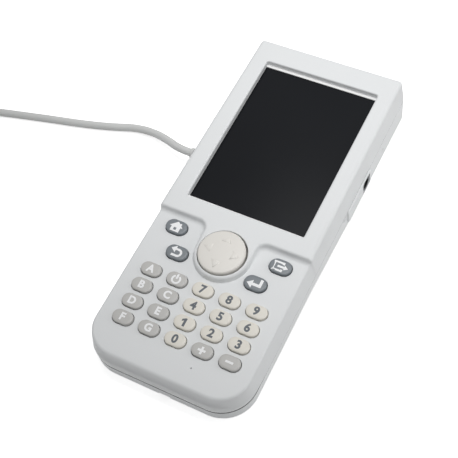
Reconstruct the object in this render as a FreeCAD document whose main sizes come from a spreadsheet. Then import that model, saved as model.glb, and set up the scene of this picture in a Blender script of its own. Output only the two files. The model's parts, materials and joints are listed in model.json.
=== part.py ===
import FreeCAD, Part
import math
import os
import types
import Sketcher

# A hand-held programming panel for a sewing machine. Every piece is drawn in the frame of the face:
# origin at the middle of the screen window on the face, X to the right, Y towards the screen end,
# Z out of the face. The panel then lies on its rear cover, tilted so that the screen end is raised.

Vector = FreeCAD.Vector
doc = FreeCAD.newDocument("programmer")

# Driving dimensions in millimetres, and one angle in degrees
SIZES = {
    # case
    "tilt": 2.5,
    "keypad_side": 12.95,
    "head_taper": 0.5,
    "bezel_above": 13.5,
    "bezel_below": 9.5,
    "keypad_below": 19.2,
    "step_depth": 2.8,
    "seam_below_board": 0.5,
    "rear_grip_height": 7.4,
    "ramp_below_step": 4.0,
    "ramp_end": 14.0,
    "ramp_round": 25.0,
    "corner_keypad": 16.0,
    "corner_top": 2.8,
    "face_round": 2.0,
    "deck_round": 2.6,
    "tongue_round": 4.5,
    "rear_round": 1.4,
    "wall": 2.2,
    "bezel_thickness": 2.6,
    "deck_thickness": 2.0,
    "seam_bevel": 0.3,
    "seam_gap": 0.5,
    "seam_gap_sink": 0.8,
    "notch_x": 1.95,
    "notch_width": 5.8,
    "notch_height": 2.2,
    "notch_length": 4.0,
    "pin_hole_diameter": 0.7,
    "pin_hole_x": 12.0,
    "pin_hole_below": 8.5,
    # screen
    "window_width": 58.5,
    "window_height": 85.0,
    "window_corner": 1.0,
    "display_lap": 2.4,
    "gasket_ledge": 1.3,
    "gasket_thickness": 0.5,
    "glass_thickness": 1.8,
    "tray_thickness": 4.6,
    "tray_ear_length": 6.4,
    "tray_ear_width": 8.0,
    "tray_ear_thickness": 1.0,
    "tray_ear_depth": 6.6,
    "tray_ear_spread": 48.0,
    "standoff_diameter": 5.0,
    "standoff_height": 1.6,
    "standoff_inset": 6.0,
    # keys
    "key_width": 10.4,
    "key_height": 6.6,
    "key_gap_x": 2.6,
    "key_gap_y": 1.9,
    "keys_below_menu": 11.9,
    "key_proud": 1.3,
    "key_edge_round": 1.0,
    "menu_width": 10.6,
    "menu_height": 7.2,
    "menu_proud": 1.2,
    "menu_below_step": 7.4,
    "menu_rows_apart": 11.7,
    "key_clearance": 0.35,
    "key_travel": 0.8,
    "flange_lip": 0.45,
    "flange_thickness": 1.0,
    "stem_diameter": 4.0,
    "stem_length": 1.2,
    "press_gap": 0.3,
    # four-way pad
    "pad_diameter": 22.0,
    "pad_below_step": 12.1,
    "pad_proud": 1.2,
    "pad_crown": 0.5,
    "pad_edge_round": 0.8,
    "pad_clearance": 0.4,
    "collar_width": 1.4,
    "pad_flange_lip": 1.2,
    "pad_flange_drop": 1.1,
    "pad_flange_thickness": 1.0,
    "pivot_depth": 2.6,
    "rocker_diameter": 6.0,
    "rocker_thickness": 1.4,
    "rocker_gap": 0.25,
    "rocker_room": 1.3,
    "post_diameter": 5.0,
    # mat and boards
    "mat_thickness": 1.0,
    "dome_height": 0.8,
    "dome_diameter": 5.0,
    "pad_dome_radius": 7.0,
    "mat_hole_gap": 0.5,
    "board_thickness": 1.6,
    "board_clearance": 0.6,
    "keypad_board_margin": 4.0,
    "screw_boss_diameter": 5.2,
    "board_boss_diameter": 4.6,
    "upper_boss_below": 5.0,
    "upper_boss_spread": 32.0,
    "lower_boss_spread": 44.0,
    "lower_boss_below": 8.5,
    "ribbon_width": 20.0,
    "ribbon_thickness": 0.3,
    "ribbon_lap": 6.0,
    "buzzer_diameter": 12.0,
    "buzzer_height": 4.0,
    "buzzer_x": -16.0,
    "buzzer_above_edge": 18.4,
    # screws
    "case_screw_diameter": 2.8,
    "case_screw_head": 5.0,
    "case_screw_head_height": 2.0,
    "case_screw_grip": 6.0,
    "case_screw_seat": 2.4,
    "board_screw_diameter": 1.8,
    "board_screw_head": 3.6,
    "board_screw_head_height": 1.2,
    "board_screw_grip": 3.0,
    "screw_clearance": 0.1,
    "screw_head_clearance": 0.3,
    "screw_end_gap": 0.5,
    "rear_boss_wall": 1.4,
    "rear_boss_inset": 0.2,
    "keypad_screw_side": 7.4,
    "keypad_screw_inset": 10.2,
    "middle_screw_below": 1.2,
    "top_screw_inset": 5.2,
    # socket in the right wall
    "socket_y": 4.5,
    "socket_headroom": 0.6,
    "socket_barrel": 7.4,
    "socket_bore": 5.0,
    "socket_bore_length": 10.0,
    "socket_width": 10.0,
    "socket_length": 11.5,
    "socket_clearance": 0.2,
    "socket_set_back": 0.5,
    "raised_pad_proud": 0.7,
    "raised_pad_from": -16.5,
    "raised_pad_to": 10.5,
    "raised_pad_rim": 0.3,
    "raised_pad_corner": 1.5,
    "raised_pad_round": 0.6,
    "socket_recess": 8.2,
    "lower_slot_y": -20.0,
    "lower_slot_below_seam": 2.5,
    "upper_slot_y": 27.0,
    "upper_slot_below_seam": 7.5,
    "wall_slot_length": 2.2,
    "wall_slot_height": 1.1,
    "wall_slot_sink": 1.2,
    # gland, lead and connector
    "gland_y": -11.4,
    "gland_headroom": 0.4,
    "gland_neck": 6.6,
    "gland_collar": 8.0,
    "gland_collar_length": 1.5,
    "gland_root": 7.6,
    "gland_tip": 5.2,
    "gland_length": 7.0,
    "gland_clearance": 0.1,
    "gland_core": 5.1,
    "gland_groove": 0.6,
    "gland_groove_start": 1.4,
    "gland_groove_pitch": 1.6,
    "cord_diameter": 4.0,
    "cord_floor_gap": 0.02,
    "coil_x": -184.0,
    "coil_y": -18.0,
    "coil_diameter": 44.0,
    "coil_band": 12.6,
    "tie_width": 6.0,
    "tie_thickness": 0.8,
    "tie_clearance": 0.45,
    "plug_offset": 11.0,
    "plug_neck_step": 1.2,
    "plug_edge_round": 1.2,
    "plug_insert_length": 1.4,
    "plug_grip_diameter": 11.0,
    "plug_grip_length": 20.0,
    "plug_neck_length": 12.0,
    "plug_groove": 0.9,
    "plug_groove_sink": 0.5,
    "plug_groove_start": 3.5,
    "plug_groove_pitch": 2.2,
    "plug_shell_diameter": 9.0,
    "plug_shell_wall": 0.6,
    "plug_shell_length": 7.5,
    "plug_pin_diameter": 0.9,
    "plug_pin_circle": 5.0,
    "plug_pin_length": 6.0,
}

KEY_NAMES = [
    ["letter_a_key", "power_key", "digit_7_key", "digit_8_key", "digit_9_key"],
    ["letter_b_key", "letter_c_key", "digit_4_key", "digit_5_key", "digit_6_key"],
    ["letter_d_key", "letter_e_key", "digit_1_key", "digit_2_key", "digit_3_key"],
    ["letter_f_key", "letter_g_key", "digit_0_key", "plus_key", "minus_key"],
]
KEY_ROWS = len(KEY_NAMES)
KEY_COLUMNS = len(KEY_NAMES[0])
PLUG_PINS = 8
PLUG_GROOVES = 5
GLAND_GROOVES = 3

sheet = doc.addObject("Spreadsheet::Sheet", "Sizes")
for row, (alias, number) in enumerate(SIZES.items(), 1):
    sheet.set(f"A{row}", alias)
    sheet.set(f"B{row}", str(number))
    sheet.setAlias(f"B{row}", alias)
doc.recompute()


class Size:
    """A number together with the sheet expression that drives it."""

    def __init__(self, value, text):
        self.value = value
        self.text = text

    def joined(self, other, sign, value):
        return Size(value, f"({self.text} {sign} {other.text})")

    def __add__(self, other):
        other = size(other)
        return self.joined(other, "+", self.value + other.value)

    def __radd__(self, other):
        return size(other) + self

    def __sub__(self, other):
        other = size(other)
        return self.joined(other, "-", self.value - other.value)

    def __rsub__(self, other):
        return size(other) - self

    def __mul__(self, other):
        other = size(other)
        return self.joined(other, "*", self.value * other.value)

    __rmul__ = __mul__

    def __truediv__(self, other):
        other = size(other)
        return self.joined(other, "/", self.value / other.value)

    def __neg__(self):
        return Size(-self.value, f"(-1 * {self.text})")


def size(number):
    return number if isinstance(number, Size) else Size(float(number), str(float(number)))


def cosine(angle):
    return Size(math.cos(math.radians(angle.value)), f"cos({angle.text} * 1 deg)")


def sine(angle):
    return Size(math.sin(math.radians(angle.value)), f"sin({angle.text} * 1 deg)")


S = types.SimpleNamespace(**{alias: Size(sheet.get(alias), f"Sizes.{alias}") for alias in SIZES})
subparts = []

# Lines across the face, worked out from the window and the keys
key_pitch_x = S.key_width + S.key_gap_x
key_pitch_y = S.key_height + S.key_gap_y
grip_width = (KEY_COLUMNS - 1) * key_pitch_x + 2 * S.keypad_side
head_width = grip_width - 2 * S.head_taper
display_width = S.window_width + 2 * S.display_lap
display_height = S.window_height + 2 * S.display_lap
top_end = S.window_height / 2 + S.bezel_above
step_at = S.window_height / 2 + S.bezel_below
pad_row = step_at + S.pad_below_step
outer_menu_row = step_at + S.menu_below_step
inner_menu_row = outer_menu_row + S.menu_rows_apart
first_row = inner_menu_row + S.keys_below_menu
last_row = first_row + (KEY_ROWS - 1) * key_pitch_y
keypad_end = last_row + S.keypad_below
ramp_start = step_at + S.ramp_below_step
pad_hole_radius = S.pad_diameter / 2 + S.pad_clearance
collar_radius = pad_hole_radius + S.collar_width

# Levels below the face
deck_underside = S.step_depth + S.deck_thickness
stem_foot = deck_underside + S.flange_thickness + S.stem_length
mat_top = stem_foot + S.key_travel + S.press_gap + S.dome_height
keypad_board_top = mat_top + S.mat_thickness
keypad_board_underside = keypad_board_top + S.board_thickness
parting_depth = keypad_board_underside + S.seam_below_board
grip_depth = parting_depth + S.rear_grip_height
glass_top = S.bezel_thickness + S.gasket_thickness
tray_top = glass_top + S.glass_thickness
tray_underside = tray_top + S.tray_thickness
main_board_top = tray_underside + S.standoff_height
main_board_underside = main_board_top + S.board_thickness
socket_depth = main_board_underside + S.socket_barrel / 2 + S.socket_headroom
gland_depth = main_board_underside + S.gland_collar / 2 + S.gland_headroom
raised_pad_top = socket_depth - S.socket_recess / 2 - S.raised_pad_rim
raised_pad_bottom = socket_depth + S.socket_recess / 2 + S.raised_pad_rim
slope = sine(S.tilt) / cosine(S.tilt)


def rear_depth(y):
    """Depth of the plane that the panel lies on, below the face at height y along it."""
    return grip_depth + (y + keypad_end - S.rear_round) * slope


# The lying panel is centred on Y, between the rounded ends of its case
upper_reach = (
    (top_end - S.rear_round) * cosine(S.tilt)
    + (rear_depth(top_end) - S.rear_round) * sine(S.tilt)
    + S.rear_round
)
lower_reach = (
    (keypad_end - S.deck_round) * cosine(S.tilt)
    - (S.step_depth + S.deck_round) * sine(S.tilt)
    + S.deck_round
)
centre_shift = (lower_reach - upper_reach) / 2
face_height = rear_depth(size(0)) * cosine(S.tilt)


def bind(thing, name, amount):
    thing.setExpression(name, size(amount).text)


def lie(thing, x=0, y=0, z=0):
    """Place a piece whose own origin is at x, y, z on the face of the lying panel."""
    x, y, z = size(x), size(y), size(z)
    thing.Placement = FreeCAD.Placement(Vector(), FreeCAD.Rotation(Vector(1, 0, 0), S.tilt.value))
    bind(thing, "Placement.Rotation.Angle", S.tilt)
    bind(thing, "Placement.Base.x", x)
    bind(thing, "Placement.Base.y", centre_shift + y * cosine(S.tilt) - z * sine(S.tilt))
    bind(thing, "Placement.Base.z", face_height + y * sine(S.tilt) + z * cosine(S.tilt))


def new_body(label, x=0, y=0, z=0, several=False):
    body = doc.addObject("PartDesign::Body", label)
    body.Label = label
    body.AllowCompound = several
    lie(body, x, y, z)
    subparts.append(body)
    return body


def origin_feature(body, role):
    return next(feature for feature in body.Origin.OriginFeatures if feature.Role == role)


def new_sketch(body, name, offset, role="XY_Plane"):
    sketch = body.newObject("Sketcher::SketchObject", name)
    sketch.AttachmentSupport = [(origin_feature(body, role), "")]
    sketch.MapMode = "FlatFace"
    bind(sketch, "AttachmentOffset.Base.z", offset)
    return sketch


def hold(sketch, geometry, point, x, y):
    """Hold a point of the sketch at x, y from its origin; None leaves that direction free."""
    for kind, axis, amount in (("DistanceX", -2, x), ("DistanceY", -1, y)):
        if amount is None:
            continue
        amount = size(amount)
        if abs(amount.value) < 1e-9:
            sketch.addConstraint(Sketcher.Constraint("PointOnObject", geometry, point, axis))
            continue
        index = sketch.addConstraint(
            Sketcher.Constraint(kind, -1, 1, geometry, point, amount.value)
        )
        bind(sketch, f"Constraints[{index}]", amount)


def polygon(sketch, corners, rounds=None, arc_after=None, arc_centre_y=None, start=0):
    """Draw a closed outline. Corners named in rounds get that radius, and the side after corner
    arc_after is a half circle about a point on the Y axis. start counts what the sketch already holds."""
    corners = [(size(x), size(y)) for x, y in corners]
    points = [Vector(x.value, y.value, 0) for x, y in corners]
    count = len(points)
    for i, point in enumerate(points):
        following = points[(i + 1) % count]
        if i == arc_after:
            middle = Vector(0, arc_centre_y.value - abs(point.x), 0)
            sketch.addGeometry(Part.Arc(point, middle, following))
        else:
            sketch.addGeometry(Part.LineSegment(point, following))
    for i in range(count):
        following = start + (i + 1) % count
        sketch.addConstraint(Sketcher.Constraint("Coincident", start + i, 2, following, 1))
    for i, (x, y) in enumerate(corners):
        if i == arc_after:
            hold(sketch, start + i - 1, 2, x, y)
            hold(sketch, start + i, 3, None, arc_centre_y)
        else:
            hold(sketch, start + i, 1, x, y)
    for i, radius in (rounds or {}).items():
        sketch.fillet(start + i, 1, radius.value, True, True)
        arc = sketch.GeometryCount - 2
        limit = sketch.addConstraint(Sketcher.Constraint("Radius", arc, radius.value))
        bind(sketch, f"Constraints[{limit}]", radius)


def rectangle(sketch, left, right, low, high, corner=None):
    rounds = {i: corner for i in range(4)} if corner else None
    polygon(sketch, [(left, low), (right, low), (right, high), (left, high)], rounds)


def circles(sketch, centres, diameter):
    for x, y in centres:
        x, y, diameter = size(x), size(y), size(diameter)
        ring = Part.Circle(Vector(x.value, y.value, 0), Vector(0, 0, 1), diameter.value / 2)
        index = sketch.addGeometry(ring)
        hold(sketch, index, 3, x, y)
        limit = sketch.addConstraint(Sketcher.Constraint("Diameter", index, diameter.value))
        bind(sketch, f"Constraints[{limit}]", diameter)


def slot(sketch, x, y, width, height):
    """Draw a slot with round ends, width by height, about x, y."""
    x, y, width, height = size(x), size(y), size(width), size(height)
    reach = (width - height) / 2
    left, right = x - reach, x + reach
    radius = height.value / 2
    low, high = y.value - radius, y.value + radius
    first = sketch.addGeometry(Part.LineSegment(Vector(left.value, high, 0), Vector(right.value, high, 0)))
    right_end = Part.Circle(Vector(right.value, y.value, 0), Vector(0, 0, 1), radius)
    sketch.addGeometry(Part.ArcOfCircle(right_end, -math.pi / 2, math.pi / 2))
    sketch.addGeometry(Part.LineSegment(Vector(right.value, low, 0), Vector(left.value, low, 0)))
    left_end = Part.Circle(Vector(left.value, y.value, 0), Vector(0, 0, 1), radius)
    sketch.addGeometry(Part.ArcOfCircle(left_end, math.pi / 2, 3 * math.pi / 2))
    top, turn_right, bottom, turn_left = range(first, first + 4)
    for line, end, turn, turn_end in (
        (top, 2, turn_right, 2),
        (bottom, 1, turn_right, 1),
        (bottom, 2, turn_left, 2),
        (top, 1, turn_left, 1),
    ):
        sketch.addConstraint(Sketcher.Constraint("Tangent", line, end, turn, turn_end))
    sketch.addConstraint(Sketcher.Constraint("Equal", turn_right, turn_left))
    sketch.addConstraint(Sketcher.Constraint("Horizontal", top))
    hold(sketch, turn_right, 3, right, y)
    hold(sketch, turn_left, 3, left, None)
    limit = sketch.addConstraint(Sketcher.Constraint("Diameter", turn_right, height.value))
    bind(sketch, f"Constraints[{limit}]", height)


def extrude(kind, body, sketch, length, along=True):
    """Pad or pocket a sketch along its own normal, or against it."""
    feature = body.newObject(f"PartDesign::{kind}", f"{sketch.Name}_{kind.lower()}")
    feature.Profile = sketch
    bind(feature, "Length", length)
    feature.Reversed = along if kind == "Pocket" else not along
    sketch.Visibility = False
    doc.recompute()
    return feature


def pad(body, sketch, length, along=True):
    return extrude("Pad", body, sketch, length, along)


def pocket(body, sketch, length, along=True):
    return extrude("Pocket", body, sketch, length, along)


def revolve(body, sketch, axis):
    feature = body.newObject("PartDesign::Revolution", f"{sketch.Name}_revolution")
    feature.Profile = sketch
    feature.ReferenceAxis = (sketch, [axis])
    feature.Angle = 360
    sketch.Visibility = False
    doc.recompute()
    return feature


def ring_grooves(body, sketch, axis, along, count, pitch):
    """Turn one groove from a sketch about its axis, and repeat it along the body's axis."""
    groove = body.newObject("PartDesign::Groove", f"{sketch.Name}_groove")
    groove.Profile = sketch
    groove.ReferenceAxis = (sketch, [axis])
    groove.Angle = 360
    sketch.Visibility = False
    doc.recompute()
    rings = body.newObject("PartDesign::LinearPattern", f"{sketch.Name}_rings")
    rings.Originals = [groove]
    rings.Direction = (origin_feature(body, along), [""])
    rings.Reversed = True
    rings.Occurrences = count
    bind(rings, "Length", (count - 1) * pitch)
    body.Tip = rings
    doc.recompute()


def ease(kind, body, name, test, amount):
    """Fillet or chamfer the edges of the body that pass the test."""
    base = body.Tip
    names = [f"Edge{i}" for i, edge in enumerate(base.Shape.Edges, 1) if test(edge)]
    feature = body.newObject(f"PartDesign::{kind}", name)
    feature.Base = (base, names)
    bind(feature, "Radius" if kind == "Fillet" else "Size", amount)
    doc.recompute()
    return feature


def at_level(edge, depth):
    """True for an edge that lies all along at one depth below the face."""
    box = edge.BoundBox
    return abs(box.ZMin + depth.value) < 1e-4 and abs(box.ZMax + depth.value) < 1e-4


def on_outer_wall(edge):
    """True for an edge that runs along the outer wall of the case."""
    box = edge.BoundBox
    inside = S.wall.value / 2
    reach = max(abs(box.XMin), abs(box.XMax))
    narrow = min(grip_width.value, head_width.value) / 2
    at_top = box.YMax > top_end.value - inside
    at_keypad = box.YMin < -keypad_end.value + inside
    return reach > narrow - inside or at_top or at_keypad


def on_rear_rim(edge):
    """True for an edge where a side wall meets the underside."""
    box = edge.BoundBox
    upright = box.XLength < 1e-3 and box.YLength < 1e-3
    crossing = box.YLength < 1e-3 and not (
        abs(box.YMax - top_end.value) < 1e-3 or abs(box.YMin + keypad_end.value) < 1e-3
    )
    return not (upright or crossing or at_level(edge, parting_depth))


def on_pad_face(edge):
    """True for an edge round the outer face of a raised pad on a side wall."""
    box = edge.BoundBox
    return box.XLength < 1e-4 and abs(abs(box.Center.x) - pad_face.value) < 1e-4


def key_grid(body, name, original):
    """Repeat the first key's feature over the grid of keys."""
    grid = body.newObject("PartDesign::LinearPattern", name)
    grid.Originals = [original]
    grid.Direction = (origin_feature(body, "X_Axis"), [""])
    grid.Occurrences = KEY_COLUMNS
    bind(grid, "Length", (KEY_COLUMNS - 1) * key_pitch_x)
    grid.Direction2 = (origin_feature(body, "Y_Axis"), [""])
    grid.Reversed2 = True
    grid.Occurrences2 = KEY_ROWS
    bind(grid, "Length2", (KEY_ROWS - 1) * key_pitch_y)
    body.Tip = grid
    doc.recompute()


def case_outline(sketch, inset):
    """Outline of the case seen from the face, drawn in from its outer wall by inset."""
    grip = grip_width / 2 - inset
    head = head_width / 2 - inset
    end = -keypad_end + inset
    top = top_end - inset
    step = -step_at
    keypad_corner = S.corner_keypad - inset
    top_corner = S.corner_top - inset
    polygon(
        sketch,
        [(grip, end), (grip, step), (head, top), (-head, top), (-grip, step), (-grip, end)],
        {0: keypad_corner, 5: keypad_corner, 2: top_corner, 3: top_corner},
        start=sketch.GeometryCount,
    )


def mirrored(x, y):
    return [(x, y), (-x, y)]


def plate(label, left, right, low, high, top, thickness):
    """A flat rectangular piece whose upper face lies at depth top below the face."""
    body = new_body(label)
    sketch = new_sketch(body, f"{label}_outline", -top)
    rectangle(sketch, left, right, low, high)
    pad(body, sketch, thickness, along=False)
    return body


def bore(body, name, places, diameter, start, length, along=True):
    """Sink round holes of one size from depth start, towards the face or away from it."""
    sketch = new_sketch(body, name, -start)
    circles(sketch, places, diameter)
    return pocket(body, sketch, length, along)


def studs(body, name, places, diameter, start, length, along=True):
    """Raise round studs of one size from depth start, towards the face or away from it."""
    sketch = new_sketch(body, name, -start)
    circles(sketch, places, diameter)
    return pad(body, sketch, length, along)


# Places of the case screws, the board bosses, the display ears and the keys
rear_boss_diameter = S.case_screw_head + 2 * S.screw_head_clearance + 2 * S.rear_boss_wall
case_screw_x = head_width / 2 - rear_boss_diameter / 2 - S.rear_boss_inset
middle_screw_y = -step_at - S.middle_screw_below
middle_screws = mirrored(case_screw_x, middle_screw_y)
keypad_screw_x = grip_width / 2 - S.keypad_screw_side
keypad_screws = mirrored(keypad_screw_x, -keypad_end + S.keypad_screw_inset)
grip_screws = keypad_screws + middle_screws
head_screws = mirrored(case_screw_x, top_end - S.top_screw_inset)
case_screws = grip_screws + head_screws
upper_boss_row = step_at + S.upper_boss_below
lower_boss_row = last_row + S.lower_boss_below
board_bosses = mirrored(S.upper_boss_spread / 2, -upper_boss_row)
board_bosses += mirrored(S.lower_boss_spread / 2, -lower_boss_row)
ear_y = display_height / 2 + S.tray_ear_length / 2
display_ears = mirrored(S.tray_ear_spread / 2, ear_y) + mirrored(S.tray_ear_spread / 2, -ear_y)
standoff_x = display_width / 2 - S.standoff_inset
standoff_y = display_height / 2 - S.standoff_inset
standoffs = mirrored(standoff_x, standoff_y) + mirrored(standoff_x, -standoff_y)
key_columns = [key_pitch_x * (column - (KEY_COLUMNS - 1) / 2) for column in range(KEY_COLUMNS)]
key_rows = [-first_row - key_pitch_y * row for row in range(KEY_ROWS)]
menu_keys = {
    "home_key": (-2 * key_pitch_x, -outer_menu_row),
    "exit_key": (2 * key_pitch_x, -outer_menu_row),
    "back_key": (-1.5 * key_pitch_x, -inner_menu_row),
    "enter_key": (1.5 * key_pitch_x, -inner_menu_row),
}


# Front cover: a moulded shell. The keypad deck lies a step below the screen deck, which runs on as a
# tongue round the four-way pad. Bosses hang from its roof, with pilot holes that open downwards.
front = new_body("front_cover")
sketch = new_sketch(front, "deck_outline", -parting_depth)
case_outline(sketch, size(0))
pad(front, sketch, parting_depth - S.step_depth)
ease("Fillet", front, "deck_rounding", lambda edge: at_level(edge, S.step_depth), S.deck_round)

sketch = new_sketch(front, "screen_deck_outline", -parting_depth)
polygon(
    sketch,
    [
        (grip_width / 2, -step_at),
        (head_width / 2, top_end),
        (-head_width / 2, top_end),
        (-grip_width / 2, -step_at),
        (-collar_radius, -step_at),
        (-collar_radius, -pad_row),
        (collar_radius, -pad_row),
        (collar_radius, -step_at),
    ],
    rounds={1: S.corner_top, 2: S.corner_top, 4: S.tongue_round, 7: S.tongue_round},
    arc_after=5,
    arc_centre_y=-pad_row,
)
pad(front, sketch, parting_depth)
ease("Fillet", front, "screen_deck_rounding", lambda edge: at_level(edge, size(0)), S.face_round)

sketch = new_sketch(front, "grip_cavity", -parting_depth)
case_outline(sketch, S.wall)
pocket(front, sketch, parting_depth - deck_underside)
sketch = new_sketch(front, "head_cavity", -parting_depth)
rectangle(
    sketch, -head_width / 2 + S.wall, head_width / 2 - S.wall,
    -step_at + S.wall, top_end - S.wall,
)
pocket(front, sketch, parting_depth - S.bezel_thickness)
sketch = new_sketch(front, "window", size(0))
rectangle(
    sketch, -S.window_width / 2, S.window_width / 2, -S.window_height / 2, S.window_height / 2,
    S.window_corner,
)
pocket(front, sketch, parting_depth, along=False)

bore(front, "pad_hole", [(0, -pad_row)], 2 * pad_hole_radius, size(0), parting_depth, along=False)
sketch = new_sketch(front, "menu_apertures", size(0))
for x, y in menu_keys.values():
    slot(sketch, x, y, S.menu_width + 2 * S.key_clearance, S.menu_height + 2 * S.key_clearance)
pocket(front, sketch, parting_depth, along=False)
sketch = new_sketch(front, "key_aperture", size(0))
slot(
    sketch, key_columns[0], key_rows[0],
    S.key_width + 2 * S.key_clearance, S.key_height + 2 * S.key_clearance,
)
aperture = pocket(front, sketch, parting_depth, along=False)
key_grid(front, "key_apertures", aperture)
pin_hole = [(S.pin_hole_x, -last_row - S.pin_hole_below)]
bore(front, "pin_hole", pin_hole, S.pin_hole_diameter, size(0), deck_underside, along=False)

boss_roof = S.step_depth + S.deck_thickness / 2
bezel_roof = S.bezel_thickness / 2
for name, places, diameter, foot, roof in (
    ("grip_screw_bosses", grip_screws, S.screw_boss_diameter, parting_depth, boss_roof),
    ("head_screw_bosses", head_screws, S.screw_boss_diameter, parting_depth, bezel_roof),
    ("board_bosses", board_bosses, S.board_boss_diameter, keypad_board_top, boss_roof),
    ("display_bosses", display_ears, S.board_boss_diameter, S.tray_ear_depth, bezel_roof),
):
    studs(front, name, places, diameter, foot, foot - roof)
for name, places, diameter, foot, depth in (
    ("case_screw_pilots", case_screws, S.case_screw_diameter, parting_depth, S.case_screw_grip),
    ("board_screw_pilots", board_bosses, S.board_screw_diameter, keypad_board_top, S.board_screw_grip),
    ("display_screw_pilots", display_ears, S.board_screw_diameter, S.tray_ear_depth, S.board_screw_grip),
):
    bore(front, name, places, diameter + 2 * S.screw_clearance, foot, depth)
ease(
    "Chamfer", front, "front_seam_bevel",
    lambda edge: at_level(edge, parting_depth) and on_outer_wall(edge), S.seam_bevel,
)


# Rear cover: a moulded tray, thin under the keypad and deeper under the screen, with a ramp between.
# Its side walls carry raised pads round the socket and the gland, its right wall two small slots, its
# keypad end a lifting notch, and its rim a shadow gap along the seam.
rear = new_body("rear_cover")
rear_reach = rear_depth(top_end) + S.wall
sketch = new_sketch(rear, "rear_outline", -parting_depth)
case_outline(sketch, size(0))
pad(rear, sketch, rear_reach - parting_depth, along=False)
sketch = new_sketch(rear, "underside", size(0), "YZ_Plane")
past_end = -keypad_end - S.wall
past_top = top_end + S.wall
polygon(
    sketch,
    [
        (past_end, -grip_depth),
        (-ramp_start, -grip_depth),
        (-S.ramp_end, -rear_depth(-S.ramp_end)),
        (past_top, -rear_depth(past_top)),
        (past_top, -rear_reach - S.wall),
        (past_end, -rear_reach - S.wall),
    ],
    rounds={1: S.ramp_round, 2: S.ramp_round},
)
trim = pocket(rear, sketch, 2 * grip_width)
trim.SideType = "Symmetric"
doc.recompute()
ease("Fillet", rear, "rear_rounding", on_rear_rim, S.rear_round)

pad_face = grip_width / 2 + S.raised_pad_proud
pad_root = head_width / 2 - S.wall
for side, name in ((1, "socket_pad"), (-1, "gland_pad")):
    sketch = new_sketch(rear, name, side * pad_root, "YZ_Plane")
    rectangle(
        sketch, S.raised_pad_from, S.raised_pad_to, -raised_pad_bottom, -raised_pad_top,
        S.raised_pad_corner,
    )
    pad(rear, sketch, pad_face - pad_root, along=side > 0)
ease("Fillet", rear, "raised_pad_rounding", on_pad_face, S.raised_pad_round)

sketch = new_sketch(rear, "rear_grip_cavity", -parting_depth)
case_outline(sketch, S.wall)
pocket(rear, sketch, grip_depth - S.wall - parting_depth, along=False)
inner_top = top_end - S.wall
head_floor = rear_depth(inner_top) - S.wall
sketch = new_sketch(rear, "rear_head_cavity", size(0), "YZ_Plane")
polygon(
    sketch,
    [
        (-ramp_start, -parting_depth),
        (-ramp_start, -grip_depth + S.wall),
        (-S.ramp_end, -rear_depth(-S.ramp_end) + S.wall),
        (inner_top, -head_floor),
        (inner_top, -parting_depth),
    ],
)
cavity = pocket(rear, sketch, head_width - 2 * S.wall)
cavity.SideType = "Symmetric"
doc.recompute()

screw_seat = parting_depth + S.case_screw_seat
for name, places, floor in (
    ("rear_grip_bosses", grip_screws, grip_depth - S.wall),
    ("rear_head_bosses", head_screws, head_floor),
):
    studs(rear, name, places, rear_boss_diameter, parting_depth, floor - parting_depth, along=False)
bore(
    rear, "case_screw_holes", case_screws, S.case_screw_diameter + 2 * S.screw_clearance,
    parting_depth, S.case_screw_seat, along=False,
)
bore(
    rear, "case_screw_wells", case_screws, S.case_screw_head + 2 * S.screw_head_clearance,
    screw_seat, rear_reach, along=False,
)

sketch = new_sketch(rear, "socket_recess", pad_face, "YZ_Plane")
rectangle(
    sketch, S.socket_y - S.socket_recess / 2, S.socket_y + S.socket_recess / 2,
    -socket_depth - S.socket_recess / 2, -socket_depth + S.socket_recess / 2,
    S.raised_pad_corner,
)
pocket(rear, sketch, S.raised_pad_proud, along=False)
sketch = new_sketch(rear, "socket_hole", pad_face, "YZ_Plane")
circles(sketch, [(S.socket_y, -socket_depth)], S.socket_barrel + 2 * S.socket_clearance)
pocket(rear, sketch, pad_face - pad_root + S.wall, along=False)
sketch = new_sketch(rear, "gland_hole", -pad_face, "YZ_Plane")
circles(sketch, [(S.gland_y, -gland_depth)], S.gland_neck + 2 * S.gland_clearance)
pocket(rear, sketch, pad_face - pad_root + S.wall)
sketch = new_sketch(rear, "wall_slots", grip_width / 2, "YZ_Plane")
for y, below in ((S.lower_slot_y, S.lower_slot_below_seam), (S.upper_slot_y, S.upper_slot_below_seam)):
    slot(sketch, y, -parting_depth - below, S.wall_slot_length, S.wall_slot_height)
pocket(rear, sketch, S.wall_slot_sink + S.head_taper, along=False)
sketch = new_sketch(rear, "lifting_notch", keypad_end, "XZ_Plane")
rectangle(
    sketch, S.notch_x - S.notch_width / 2, S.notch_x + S.notch_width / 2,
    -rear_reach, -grip_depth + S.notch_height,
)
pocket(rear, sketch, S.notch_length, along=False)
sketch = new_sketch(rear, "seam_gap", -parting_depth)
case_outline(sketch, -S.wall)
case_outline(sketch, S.seam_gap_sink)
pocket(rear, sketch, S.seam_gap, along=False)


# Display: a foam gasket under the window, the black panel, and the metal tray that holds both up
# against the cover by four ears.
gasket = plate(
    "display_gasket", -display_width / 2, display_width / 2, -display_height / 2, display_height / 2,
    S.bezel_thickness, S.gasket_thickness,
)
sketch = new_sketch(gasket, "gasket_opening", -S.bezel_thickness)
ledge_y = S.window_height / 2 - S.gasket_ledge
rectangle(sketch, -S.window_width / 2, S.window_width / 2, -ledge_y, ledge_y)
pocket(gasket, sketch, S.gasket_thickness, along=False)

plate(
    "display_panel", -display_width / 2, display_width / 2, -display_height / 2, display_height / 2,
    glass_top, S.glass_thickness,
)

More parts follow.
